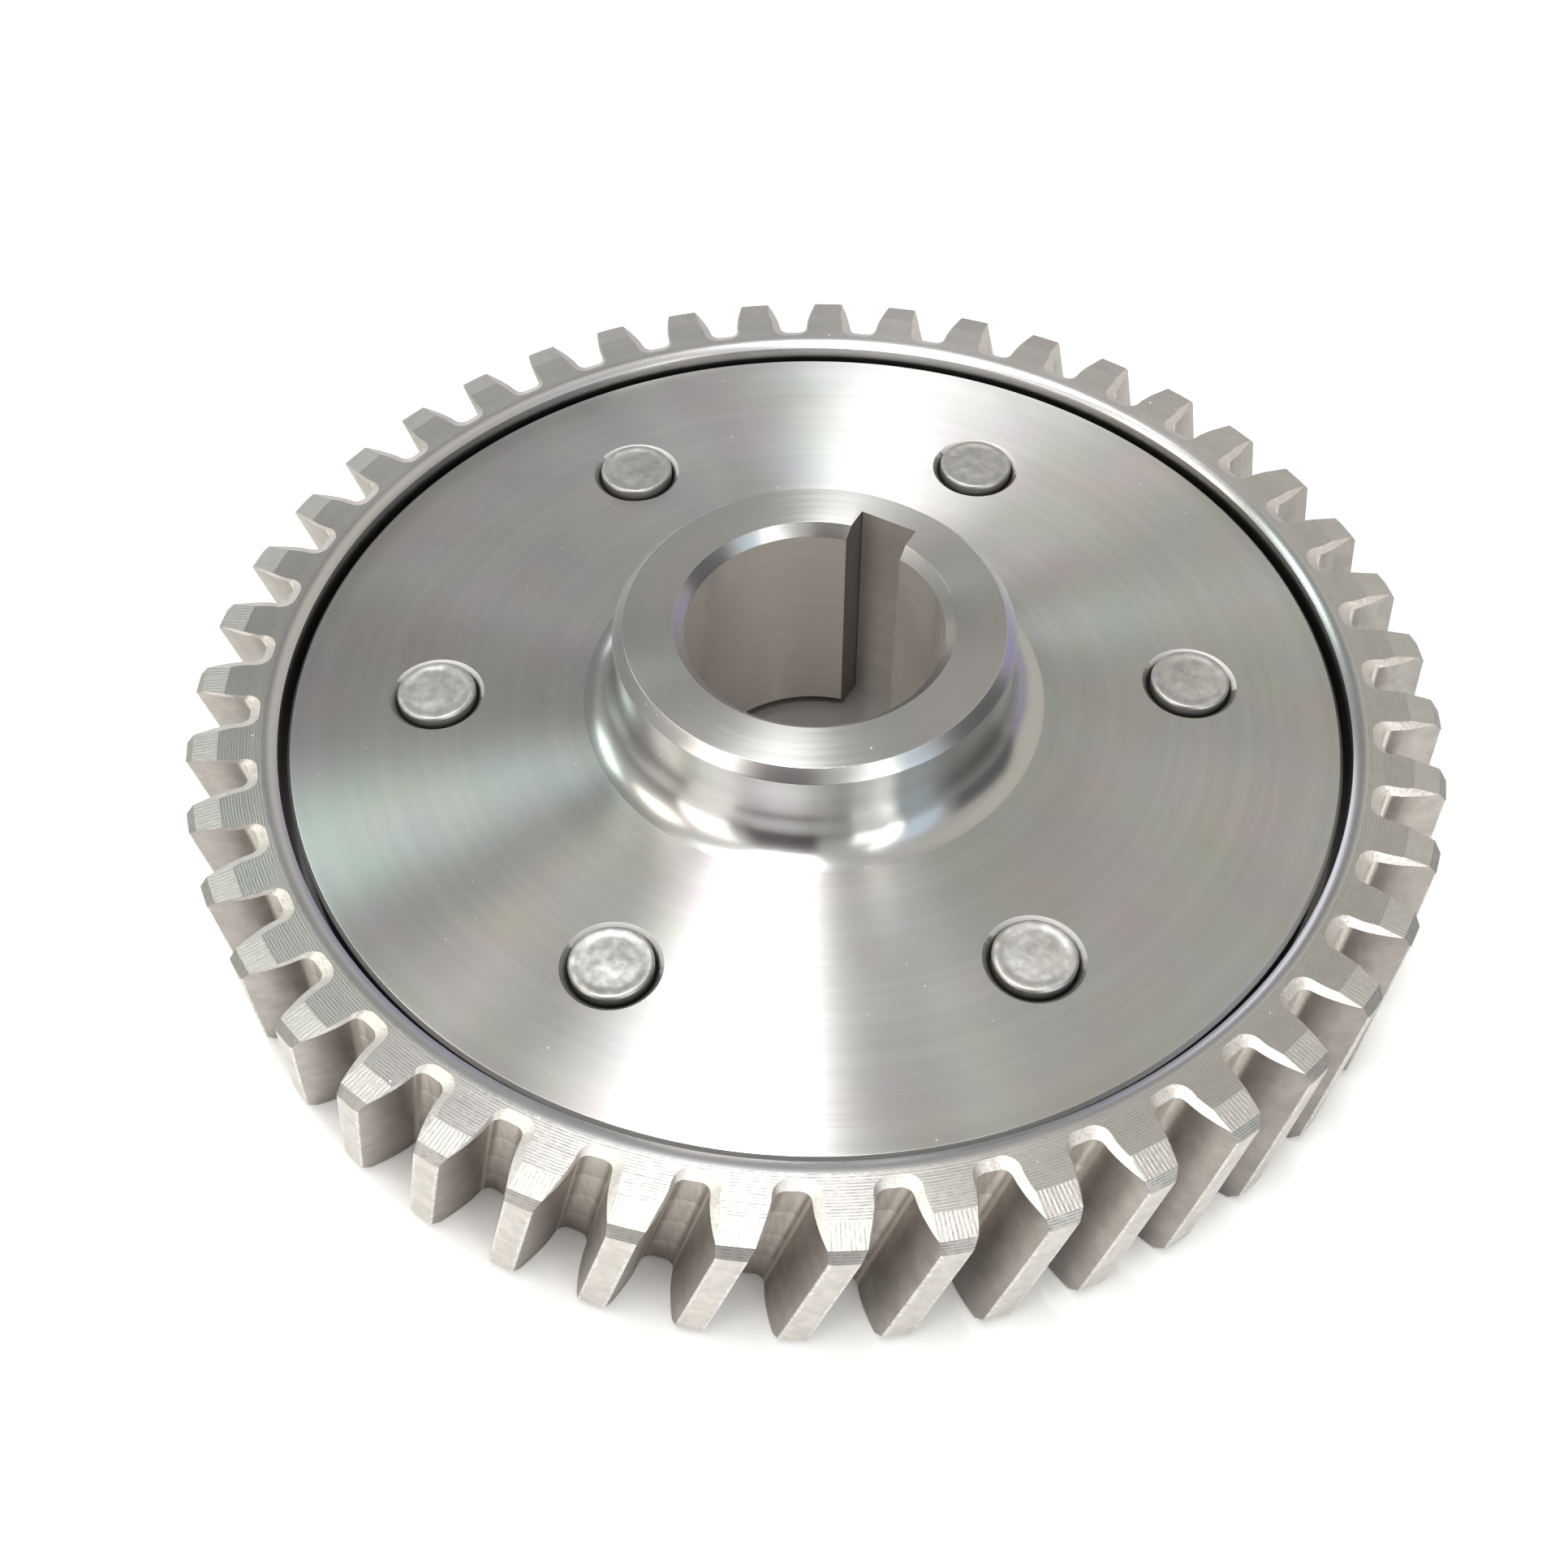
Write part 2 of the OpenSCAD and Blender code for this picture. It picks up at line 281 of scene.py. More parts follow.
SPACE, TIP, TIP_EDGE, BEVEL, BAND, CHAMFER, FACE, LIP, WALL, WEB = range(10)
SPOKES = 8
LAND_STEPS, CORNER_STEPS, FLANK_STEPS, TIP_STEPS = 2, 5, 7, 3
MARK_STEPS = 5
LIP_STEPS = 5
LIP_ANGLE = math.radians(45)
FILLET_STEPS = 6
# Pairs of zones that run into each other without an edge
SOFT_PAIRS = ({SPACE, TIP_EDGE}, {TIP, TIP_EDGE})


def ring_radii():
    """Pitch, base, tip, root and inner rim radius of the ring."""
    teeth, body, _ = sizes()
    module = teeth.normal_module / math.cos(teeth.helix)
    pitch = module * teeth.count / 2
    pressure = math.atan(math.tan(teeth.pressure) / math.cos(teeth.helix))
    root = pitch - teeth.dedendum
    return pitch, pitch * math.cos(pressure), pitch + teeth.addendum, root, root - body.rim


def involute(a):
    return math.tan(a) - a


def half_tooth(r):
    """Half of a tooth's angle at radius r."""
    teeth = bpy.context.scene.gear_teeth
    pitch, base, _, _, _ = ring_radii()
    pressure = math.acos(base / pitch)
    return (teeth.thickness / (2 * pitch) + involute(pressure)
            - involute(math.acos(min(1.0, base / r))))


def tooth_side(root, tip, shrink, corner, tip_round):
    """One side of a tooth from mid space to mid tip as (radius, angle, zone), the angle
    counted from the tooth's centre."""
    teeth = bpy.context.scene.gear_teeth
    half_step = math.pi / teeth.count
    mid = root + corner
    lean = math.asin(corner / mid)
    foot = math.sqrt(mid * mid - corner * corner)
    foot_angle = half_tooth(foot) - shrink / foot
    mid_angle = foot_angle + lean
    side = [(root, half_step + (mid_angle - half_step) * k / LAND_STEPS, SPACE)
            for k in range(LAND_STEPS)]
    for k in range(CORNER_STEPS):
        turn = (math.pi / 2 - lean) * k / CORNER_STEPS
        across = corner * math.sin(turn)
        down = mid - corner * math.cos(turn)
        side.append((math.hypot(across, down), mid_angle - math.atan2(across, down), SPACE))
    top = tip - tip_round
    for k in range(FLANK_STEPS + 1):
        r = foot + (top - foot) * k / FLANK_STEPS
        side.append((r, half_tooth(r) - shrink / r, SPACE if k < FLANK_STEPS else TIP_EDGE))
    edge_angle = side[-1][1] - tip_round / tip
    side.append((tip - tip_round * 0.3, side[-1][1] - tip_round * 0.3 / tip, TIP_EDGE))
    side.append((tip, edge_angle, TIP))
    side += [(tip, edge_angle * (1 - k / TIP_STEPS), TIP) for k in range(1, TIP_STEPS + 1)]
    return side


def helix_turn(z):
    """Turn of the teeth at height z."""
    teeth = bpy.context.scene.gear_teeth
    pitch = ring_radii()[0]
    twist = face_width() * math.tan(teeth.helix) / pitch
    return math.pi / 2 + teeth.turn + twist * (z / face_width() - 0.5)


def hob_mark(z):
    """Height of the ridge that the hob leaves in the root at height z."""
    teeth = bpy.context.scene.gear_teeth
    offset = (z / teeth.hob_feed) % 1.0 - 0.5
    return (offset * teeth.hob_feed) ** 2 / (2 * teeth.hob_radius)


def tooth_levels():
    """Levels from the back face to the front face, each as
    (height in the root, root, tip, shrink, corner, tip round, rise from root to tip)."""
    teeth = bpy.context.scene.gear_teeth
    _, _, tip, root, _ = ring_radii()
    end_tip = tip - teeth.tip_chamfer - teeth.tip_band
    low = teeth.tip_drop + teeth.tip_chamfer
    rise = teeth.bevel_drop - teeth.tip_drop
    width = face_width()
    corner = teeth.root_fillet
    end = (root - teeth.root_bevel, end_tip, teeth.flank_bevel, corner + teeth.flank_bevel, 0.0)
    bevelled = (root, tip - teeth.tip_chamfer, 0.0, corner, 0.0)
    full = (root, tip, 0.0, corner, teeth.tip_round)
    marks = round(width / teeth.hob_feed)
    inner = [width * k / (marks * MARK_STEPS) for k in range(1, marks * MARK_STEPS)]
    inner = [z for z in inner if low + 0.2 * MM < z < width - low - 0.2 * MM]
    levels = [(0.0, *end, 0.0), (teeth.bevel_drop, *bevelled, -rise), (low, *full, 0.0)]
    levels += [(z, root + hob_mark(z), tip, 0.0, corner, teeth.tip_round, 0.0) for z in inner]
    levels += [(width - low, *full, 0.0), (width - teeth.bevel_drop, *bevelled, rise),
               (width, *end, 0.0)]
    return levels


def tooth_sector(bm):
    """One tooth with the slice of rim behind it, open on its two cut sides."""
    teeth, body, _ = sizes()
    step = FULL_TURN / teeth.count
    zone = bm.faces.layers.int.new("zone")
    levels = tooth_levels()
    last = len(levels) - 1

    def face(verts, kind):
        made = bm.faces.new(verts)
        made[zone] = kind

    rows = []
    for z, root, tip, shrink, corner, tip_round, rise in levels:
        # The bevel is wider on the blunt side of a helical tooth's end
        skew = teeth.bevel_skew if z > face_width() / 2 else -teeth.bevel_skew
        side = tooth_side(root, tip, shrink * (1 + skew), corner, tip_round)
        other = tooth_side(root, tip, shrink * (1 - skew), corner, tip_round)
        outline = [(r, -a) for r, a, _ in side] + [(r, a) for r, a, _ in other[-2::-1]]
        row = []
        for r, a in outline:
            height = z + rise * (r - root) / (tip - root)
            turn = helix_turn(height) + a
            row.append(bm.verts.new((r * math.cos(turn), r * math.sin(turn), height)))
        rows.append(row)
    kinds = [kind for _, _, kind in side[:-1]]
    kinds = kinds + kinds[::-1]
    for level in range(last):
        for i, kind in enumerate(kinds):
            if level in (0, last - 1):
                kind = BAND if kind in (TIP, TIP_EDGE) else BEVEL
            elif level in (1, last - 2) and kind in (TIP, TIP_EDGE):
                kind = CHAMFER
            low, high = rows[level], rows[level + 1]
            face((low[i], low[i + 1], high[i + 1], high[i]), kind)

    # Flat ends down to the rim's lip, and the turned walls inside
    _, _, _, _, rim_in = ring_radii()
    _, web_top, web_back = web_levels()
    width = face_width()
    lip = [(r, depth, LIP if k < LIP_STEPS else WALL)
           for k, (r, depth) in enumerate(lip_points())]
    front = [(r, width - depth, kind) for r, depth, kind in lip] + [(rim_in, web_top, WALL)]
    fillet = [(rim_in - body.web_fillet * (1 - math.cos(math.pi / 2 * k / FILLET_STEPS)),
               web_back - body.web_fillet * (1 - math.sin(math.pi / 2 * k / FILLET_STEPS)), WALL)
              for k in range(FILLET_STEPS + 1)]
    back = lip + fillet
    for outline, height, outer, sign in ((front, width, rows[-1], 1), (back, 0.0, rows[0], -1)):
        start = helix_turn(height) - step / 2
        inner = [[bm.verts.new((r * math.cos(start + step * k / SPOKES),
                                r * math.sin(start + step * k / SPOKES), z))
                  for k in range(SPOKES + 1)] for r, z, kind in outline]
        cap = list(inner[0]) + list(reversed(outer))
        face(cap[::-1] if sign > 0 else cap, FACE)
        for i in range(len(outline) - 1):
            for k in range(SPOKES):
                quad = (inner[i][k], inner[i][k + 1], inner[i + 1][k + 1], inner[i + 1][k])
                face(quad if sign > 0 else quad[::-1], outline[i][2])


def lip_points():
    """Rounding of a lip as (radius, depth under the end face), from the face to the wall."""
    body = bpy.context.scene.gear_body
    rim_in = ring_radii()[4]
    reach = body.lip_round
    outer = rim_in + reach * math.sin(LIP_ANGLE)
    turns = [LIP_ANGLE * k / LIP_STEPS for k in range(LIP_STEPS + 1)]
    return [(outer - reach * math.sin(a), reach * (1 - math.cos(a))) for a in turns]


def circle_points(radius, count, start=0.0, centre=(0.0, 0.0)):
    return [Vector((centre[0] + radius * math.cos(start + FULL_TURN * k / count),
                    centre[1] + radius * math.sin(start + FULL_TURN * k / count)))
            for k in range(count)]


def plate_with_holes(bm, z, outer, inner, holes, upward, finish):
    """A flat face between two circles, with round holes, as constrained triangles."""
    points, loops = [], []
    for ring in [outer, inner] + holes:
        first = len(points)
        points += ring
        loops += [(first + k, first + (k + 1) % len(ring)) for k in range(len(ring))]
    result = geometry.delaunay_2d_cdt(points, loops, [], 0, 1e-9)
    verts = [bm.verts.new((p.x, p.y, z)) for p in result[0]]
    inner_r = inner[0].length
    outer_r = outer[0].length
    middles = [sum(hole, Vector((0, 0))) / len(hole) for hole in holes]
    centres = [(mid, (hole[0] - mid).length) for mid, hole in zip(middles, holes)]
    for triangle in result[2]:
        mid = sum((result[0][i] for i in triangle), Vector((0, 0))) / 3
        if not inner_r * 0.9995 < mid.length < outer_r:
            continue
        if any((mid - c).length < r * 0.9995 for c, r in centres):
            continue
        made = bm.faces.new([verts[i] for i in triangle])
        made.material_index = finish
        made.normal_update()
        if (made.normal.z > 0) != upward:
            made.normal_flip()


def web_plate(bm):
    """The web inside the rim, with its bore and the stepped rivet holes."""
    teeth, body, rivets = sizes()
    _, _, _, _, rim_in = ring_radii()
    _, web_top, web_back = web_levels()
    count = teeth.count * SPOKES
    bore = body.spigot_radius + body.spigot_clear
    hole = rivets.shank + rivets.clearance
    sink = rivets.head + rivets.clearance
    seat = web_back + rivets.head_depth
    half_step = math.pi / teeth.count
    around = 64
    bore_count = 180

    def holes(radius):
        return [circle_points(radius, around, 0.0,
                              (rivets.circle * math.cos(a), rivets.circle * math.sin(a)))
                for a in rivet_angles()]

    plate_with_holes(bm, web_top,
                     circle_points(rim_in, count, helix_turn(face_width()) - half_step),
                     circle_points(bore, bore_count), holes(hole), True, WEB)
    plate_with_holes(bm, web_back,
                     circle_points(rim_in - body.web_fillet, count, helix_turn(0.0) - half_step),
                     circle_points(bore, bore_count), holes(sink), False, WEB)
    lathe(bm, [(bore, web_top, WEB), (bore, web_back, WEB)], bore_count, closed=False)
    for a in rivet_angles():
        before = set(bm.verts)
        lathe(bm, [(hole, web_top, WEB), (hole, seat, WEB), (sink, seat, WEB),
                   (sink, web_back, WEB)], around, closed=False)
        move_to_rivet(bm, before, a)


def rivet_angles():
    return [math.pi / 2 + FULL_TURN * k / len(RIVET_NODES) for k in range(len(RIVET_NODES))]


def move_to_rivet(bm, before, turn):
    """Moves all vertices but those in before from the axis to a rivet's place."""
    circle = bpy.context.scene.gear_rivets.circle
    new = [v for v in bm.verts if v not in before]
    bmesh.ops.translate(bm, verts=new, vec=(circle * math.cos(turn), circle * math.sin(turn), 0.0))


class Tree:
    """Adds nodes to a tree and feeds their sockets from values or other sockets."""

    def __init__(self, tree):
        self.tree = tree

    def add(self, kind, feeds=(), **settings):
        node = self.tree.nodes.new(kind)
        for name, value in settings.items():
            setattr(node, name, value)
        for key, value in dict(feeds).items():
            self.feed(node.inputs[key], value)
        return node

    def feed(self, socket, value):
        if isinstance(value, bpy.types.NodeSocket):
            self.tree.links.new(value, socket)
        else:
            socket.default_value = value

    def math(self, operation, *values):
        return self.add("ShaderNodeMath", enumerate(values), operation=operation).outputs[0]

    def vector(self, operation, *values, scale=None):
        node = self.add("ShaderNodeVectorMath", enumerate(values), operation=operation)
        if scale is not None:
            self.feed(node.inputs["Scale"], scale)
        return node.outputs["Value" if operation in ("LENGTH", "DOT_PRODUCT") else "Vector"]

    def span(self, value, low, high, to_low=0.0, to_high=1.0, smooth=False):
        """Maps a value from low..high to to_low..to_high, clamped."""
        node = self.add("ShaderNodeMapRange", {0: value, 1: low, 2: high, 3: to_low, 4: to_high})
        node.interpolation_type = "SMOOTHSTEP" if smooth else "LINEAR"
        return node.outputs[0]

    def mix(self, share, low, high, blend="MIX"):
        node = self.add("ShaderNodeMix", data_type="RGBA", blend_type=blend)
        self.feed(node.inputs[0], share)
        self.feed(node.inputs[6], low)
        self.feed(node.inputs[7], high)
        return node.outputs[2]

    def noise(self, vector, size, detail=2.0, rough=0.5, output=0):
        """Noise by its size: one value, or with output 1 a colour."""
        node = self.add("ShaderNodeTexNoise", {
            "Vector": vector, "Scale": 1 / size, "Detail": detail, "Roughness": rough})
        return node.outputs[output]

    def split(self, vector):
        return self.add("ShaderNodeSeparateXYZ", {0: vector}).outputs

    def join(self, *values):
        return self.add("ShaderNodeCombineXYZ", enumerate(values)).outputs[0]

    def tilt(self, normal, direction, amount):
        """A normal moved by an amount along a direction."""
        return self.vector("ADD", normal, self.vector("SCALE", direction, scale=amount))


def node_group(name, inputs):
    """A new geometry tree with a mesh in, a mesh out and the named inputs."""
    tree = bpy.data.node_groups.new(name, "GeometryNodeTree")
    tree.interface.new_socket("Geometry", in_out="INPUT", socket_type="NodeSocketGeometry")
    for label, kind, default in inputs:
        socket = tree.interface.new_socket(label, in_out="INPUT", socket_type=kind)
        if default is not None:
            socket.default_value = default
    tree.interface.new_socket("Geometry", in_out="OUTPUT", socket_type="NodeSocketGeometry")
    graph = Tree(tree)
    entry = graph.add("NodeGroupInput")
    leave = graph.add("NodeGroupOutput")
    return graph, entry, leave


def apply_nodes(obj, graph, values):
    """Runs a geometry tree on an object with named input values and returns the plain mesh."""
    modifier = obj.modifiers.new(graph.tree.name, "NODES")
    modifier.node_group = graph.tree
    for item in graph.tree.interface.items_tree:
        if item.in_out == "INPUT" and item.name in values:
            modifier[item.identifier] = values[item.name]
    return evaluated_mesh(obj)


def noise_field(graph, entry, size, rough=0.5):
    """Noise over the points of a mesh, by the tree's seed and the input that gives its size."""
    field = graph.add("ShaderNodeTexNoise", {"Detail": 3.0, "Roughness": rough},
                      noise_dimensions="4D")
    graph.feed(field.inputs["Vector"], graph.add("GeometryNodeInputPosition").outputs[0])
    graph.feed(field.inputs["W"], entry.outputs["Seed"])
    graph.feed(field.inputs["Scale"], graph.math("DIVIDE", 1.0, entry.outputs[size]))
    return field


def finish_zones(graph, result, finishes, leave):
    """Sets the finish of each zone's faces and ends the tree."""
    zone = graph.add("GeometryNodeInputNamedAttribute", {"Name": "zone"}, data_type="INT")
    for kind, material in enumerate(finishes):
        same = graph.add("FunctionNodeCompare", data_type="INT", operation="EQUAL")
        graph.feed(same.inputs[2], zone.outputs[0])
        graph.feed(same.inputs[3], kind)
        painted = graph.add("GeometryNodeSetMaterial", {
            "Geometry": result, "Selection": same.outputs[0], "Material": material})
        result = painted.outputs["Geometry"]
    graph.feed(leave.inputs["Geometry"], result)


def ring_nodes(finishes):
    """Geometry nodes that repeat one tooth sector round the axis, roughen its bevels and set
    the finish of each zone."""
    graph, entry, leave = node_group("Teeth round the axis", [
        ("Teeth", "NodeSocketInt", 43),
        ("Bevel wander", "NodeSocketFloat", 0.05 * MM),
        ("Wander size", "NodeSocketFloat", 1.2 * MM),
        ("Seed", "NodeSocketFloat", 3.0),
    ])
    step = graph.math("DIVIDE", FULL_TURN, entry.outputs["Teeth"])
    row = graph.add("GeometryNodeMeshLine", mode="OFFSET")
    graph.feed(row.inputs["Count"], entry.outputs["Teeth"])
    graph.feed(row.inputs["Offset"], (0.0, 0.0, 0.0))
    index = graph.add("GeometryNodeInputIndex")
    turn = graph.add("ShaderNodeCombineXYZ", {2: graph.math("MULTIPLY", index.outputs[0], step)})
    place = graph.add("GeometryNodeInstanceOnPoints", {
        "Points": row.outputs["Mesh"], "Instance": entry.outputs["Geometry"],
        "Rotation": turn.outputs[0]})
    real = graph.add("GeometryNodeRealizeInstances", {"Geometry": place.outputs["Instances"]})
    joined = graph.add("GeometryNodeMergeByDistance", {
        "Geometry": real.outputs["Geometry"], "Distance": 0.002 * MM})
    # The bevels' edges wander a little in their own plane
    wander = graph.add("GeometryNodeInputNamedAttribute", {"Name": "wander"}, data_type="FLOAT")
    field = noise_field(graph, entry, "Wander size")
    push = graph.vector("SUBTRACT", field.outputs["Color"], (0.5, 0.5, 0.5))
    push = graph.vector("MULTIPLY", push, (2.0, 2.0, 0.0))
    reach = graph.math("MULTIPLY", entry.outputs["Bevel wander"], wander.outputs[0])
    moved = graph.add("GeometryNodeSetPosition", {
        "Geometry": joined.outputs["Geometry"],
        "Offset": graph.vector("SCALE", push, scale=reach)})
    finish_zones(graph, moved.outputs["Geometry"], finishes, leave)
    return graph


class GEAR_OT_toothed_ring(bpy.types.Operator):
    """Build the toothed ring: teeth repeated by geometry nodes, rim, lip and web"""
    bl_idname = "gear.toothed_ring"
    bl_label = "Toothed Ring"

    def execute(self, context):
        teeth = context.scene.gear_teeth
        sector = mesh_from("tooth_sector", tooth_sector)
        mark_wander(sector)
        carrier = bpy.data.objects.new("tooth_sector", sector)
        context.scene.collection.objects.link(carrier)
        finishes = ring_finishes()
        sector.materials.append(finishes[SPACE])
        ring = apply_nodes(carrier, ring_nodes(finishes), {
            "Teeth": teeth.count, "Bevel wander": 0.06 * MM, "Wander size": 0.9 * MM, "Seed": 3.0})
        bm = bmesh.new()
        bm.from_mesh(ring)
        slots = {material.name: i for i, material in enumerate(ring.materials)}
        zone = bm.faces.layers.int["zone"]
        for face in bm.faces:
            face.material_index = slots[finishes[face[zone]].name]
        plate = mesh_from("web_plate", web_plate)
        first = len(bm.faces)
        bm.from_mesh(plate)
        bm.faces.ensure_lookup_table()
        for face in bm.faces[first:]:
            face[zone] = WEB
            face.material_index = slots[finishes[WEB].name]
        bmesh.ops.remove_doubles(bm, verts=bm.verts, dist=0.001 * MM)
        bmesh.ops.recalc_face_normals(bm, faces=bm.faces)
        bm.to_mesh(ring)
        bm.free()
        shade(ring, soft=SOFT_PAIRS)
        add_piece("gear_ring", ring, "ring_steel", "toothed_ring")
        return {"FINISHED"}


def mark_wander(sector):
    """Marks the points of a tooth's two ends whose place wanders: the bevel's inner edge."""
    width = face_width()
    lip = lip_points()[0][0]
    values = []
    for vertex in sector.vertices:
        on_end = min(vertex.co.z, width - vertex.co.z) < 0.001 * MM
        values.append(1.0 if on_end and vertex.co.xy.length > lip + 0.01 * MM else 0.0)
    layer = sector.attributes.new("wander", "FLOAT", "POINT")
    layer.data.foreach_set("value", values)


# Hub and disc

DISC_FACE, HUB_TOP, HUB_WALL, BORE_WALL, EDGE_FACE, BACK_FACE, KEY_FACE, GAP_FACE = range(8)


def hub_outline():
    """Closed outline of the hub flange as (radius, height, corner radius, finish)."""
    _, body, _ = sizes()
    disc_top, web_top, web_back = web_levels()
    nose = HUB_HIGH.z
    bore = BORE["dims"]["r_mm"] * MM
    disc_r = HUB_HIGH.x
    hub = body.hub_radius
    edge = body.edge
    steps = 12
    fillet = [(hub + body.hub_fillet * (1 - math.sin(math.pi / 2 * k / steps)),
               disc_top + body.hub_fillet * (1 - math.cos(math.pi / 2 * k / steps)), 0.0,
               HUB_WALL)
              for k in range(steps + 1)]
    guard = 0.05 * MM
    return [
        (bore + body.bore_chamfer, 0.0, edge, BACK_FACE),
        (hub - body.hub_chamfer, 0.0, edge, EDGE_FACE),
        (hub, body.hub_chamfer, edge, BACK_FACE),
        (hub, web_back, 0.0, BACK_FACE),
        (body.spigot_radius, web_back, edge, BACK_FACE),
        (body.spigot_radius, web_top, 0.0, BACK_FACE),
        # Painted shade: the disc's outer wall takes the dark gap finish for the shade in the gap
        # round the disc
        (disc_r, web_top, edge, GAP_FACE),
        (disc_r, disc_top - body.disc_chamfer, edge, EDGE_FACE),
        (disc_r - body.disc_chamfer, disc_top, edge, DISC_FACE),
        (hub + body.hub_fillet + guard, disc_top, 0.0, DISC_FACE),
        *fillet,
        (hub, disc_top + body.hub_fillet + guard, 0.0, HUB_WALL),
        (hub, nose - body.hub_chamfer, edge, EDGE_FACE),
        (hub - body.hub_chamfer, nose, edge, HUB_TOP),
        (bore + body.bore_chamfer, nose, edge, EDGE_FACE),
        (bore, nose - body.bore_chamfer, edge, BORE_WALL),
        (bore, body.bore_chamfer, edge, EDGE_FACE),
    ]


def hub_body(bm):
    """The turned body before the keyway and the rivet holes are cut."""
    lathe(bm, rounded(hub_outline()), 384)
    bmesh.ops.recalc_face_normals(bm, faces=bm.faces)


def hub_cutters(bm):
    """Keyway bar and stepped hole cutters, as separate closed shells."""
    _, body, rivets = sizes()
    disc_top, web_top, _ = web_levels()
    over = 1.0 * MM
    nose = HUB_HIGH.z
    bore = BORE["dims"]["r_mm"] * MM
    bar = bmesh.ops.create_cube(bm, size=1.0)["verts"]
    bmesh.ops.scale(bm, verts=bar, vec=(body.key_width, bore + body.key_depth, nose + 2 * over))
    bmesh.ops.translate(bm, verts=bar, vec=(0, (bore + body.key_depth) / 2, nose / 2))
    for face in bm.faces:
        face.material_index = KEY_FACE
    hole = rivets.shank + rivets.clearance
    mouth = hole + rivets.hole_chamfer
    flare = 0.2 * MM
    for a in rivet_angles():
        before = set(bm.verts)
        rows = lathe(bm, [
            (hole, web_top - over, GAP_FACE),
            (hole, disc_top - rivets.hole_chamfer, GAP_FACE),
            (mouth + flare, disc_top + flare, GAP_FACE)], 96, closed=False)
        for row in (rows[0], rows[-1]):
            bm.faces.new(row).material_index = GAP_FACE
        move_to_rivet(bm, before, a)
    bmesh.ops.recalc_face_normals(bm, faces=bm.faces)


class GEAR_OT_hub_flange(bpy.types.Operator):
    """Build the turned hub and disc with its bore, keyway and rivet holes"""
    bl_idname = "gear.hub_flange"
    bl_label = "Hub and Disc"

    def execute(self, context):
        body = bpy.data.objects.new("hub_blank", mesh_from("hub_blank", hub_body))
        tool = bpy.data.objects.new("hub_tool", mesh_from("hub_tool", hub_cutters))
        finishes = hub_finishes()
        for obj in (body, tool):
            context.scene.collection.objects.link(obj)
            for material in finishes:
                obj.data.materials.append(material)
        cut = body.modifiers.new("Cuts", "BOOLEAN")
        cut.operation = "DIFFERENCE"
        cut.solver = "EXACT"
        cut.object = tool
        hub = evaluated_mesh(body)
        bpy.data.objects.remove(tool)
        if len(hub.polygons) < 1000:
            raise RuntimeError("the keyway and holes weren't cut")
        shade(hub)
        add_piece("keyed_hub", hub, "hub_steel", "hub_flange")
        return {"FINISHED"}


# Rivets

RIVET_SIDE, RIVET_DISH, RIVET_HEAD = range(3)


def rivet_outline():
    """Half outline of a rivet from the centre of its head to the centre of its crown: a
    rounded rim, a shallow groove inside it and a low dented middle."""
    _, _, rivets = sizes()
    disc_top, _, web_back = web_levels()
    top = disc_top + rivets.rise
    seat = web_back + rivets.head_depth
    shank = rivets.shank
    edge = rivets.edge
    head_edge = 0.1 * MM
    side = [
        (0.0, web_back, RIVET_HEAD),
        (rivets.head - head_edge, web_back, RIVET_HEAD),
        (rivets.head, web_back + head_edge, RIVET_HEAD),
        (rivets.head, seat, RIVET_SIDE),
        (shank, seat, RIVET_SIDE),
        (shank, disc_top - rivets.hole_chamfer, RIVET_SIDE),
    ]
    steps = 6
    side += [(shank - edge * (1 - math.cos(math.pi / 2 * k / steps)),
              top - edge * (1 - math.sin(math.pi / 2 * k / steps)),
              RIVET_DISH if k > 0 else RIVET_SIDE) for k in range(steps + 1)]
    dish = shank - edge - rivets.dish_rim
    rings = 16
    for k in range(rings + 1):
        share = 1 - k / rings
        groove = 1 - math.exp(-((1 - share) / 0.12) ** 2)
        crown = 1 - share ** 2
        depth = rivets.dish_depth * groove * (1 - 0.75 * crown)
        side.append((dish * share, top - depth, RIVET_DISH))
    return side


def rivet_blank(bm):
    """One rivet on the axis."""
    lathe(bm, rivet_outline(), 72, closed=False)
    bmesh.ops.remove_doubles(bm, verts=bm.verts, dist=0.001 * MM)
    bmesh.ops.recalc_face_normals(bm, faces=bm.faces)
    dents = bm.verts.layers.float.new("dents")
    zone = bm.faces.layers.int.new("zone")
    for face in bm.faces:
        face[zone] = face.material_index
        if face.material_index == RIVET_DISH:
            for vertex in face.verts:
                vertex[dents] = 1.0


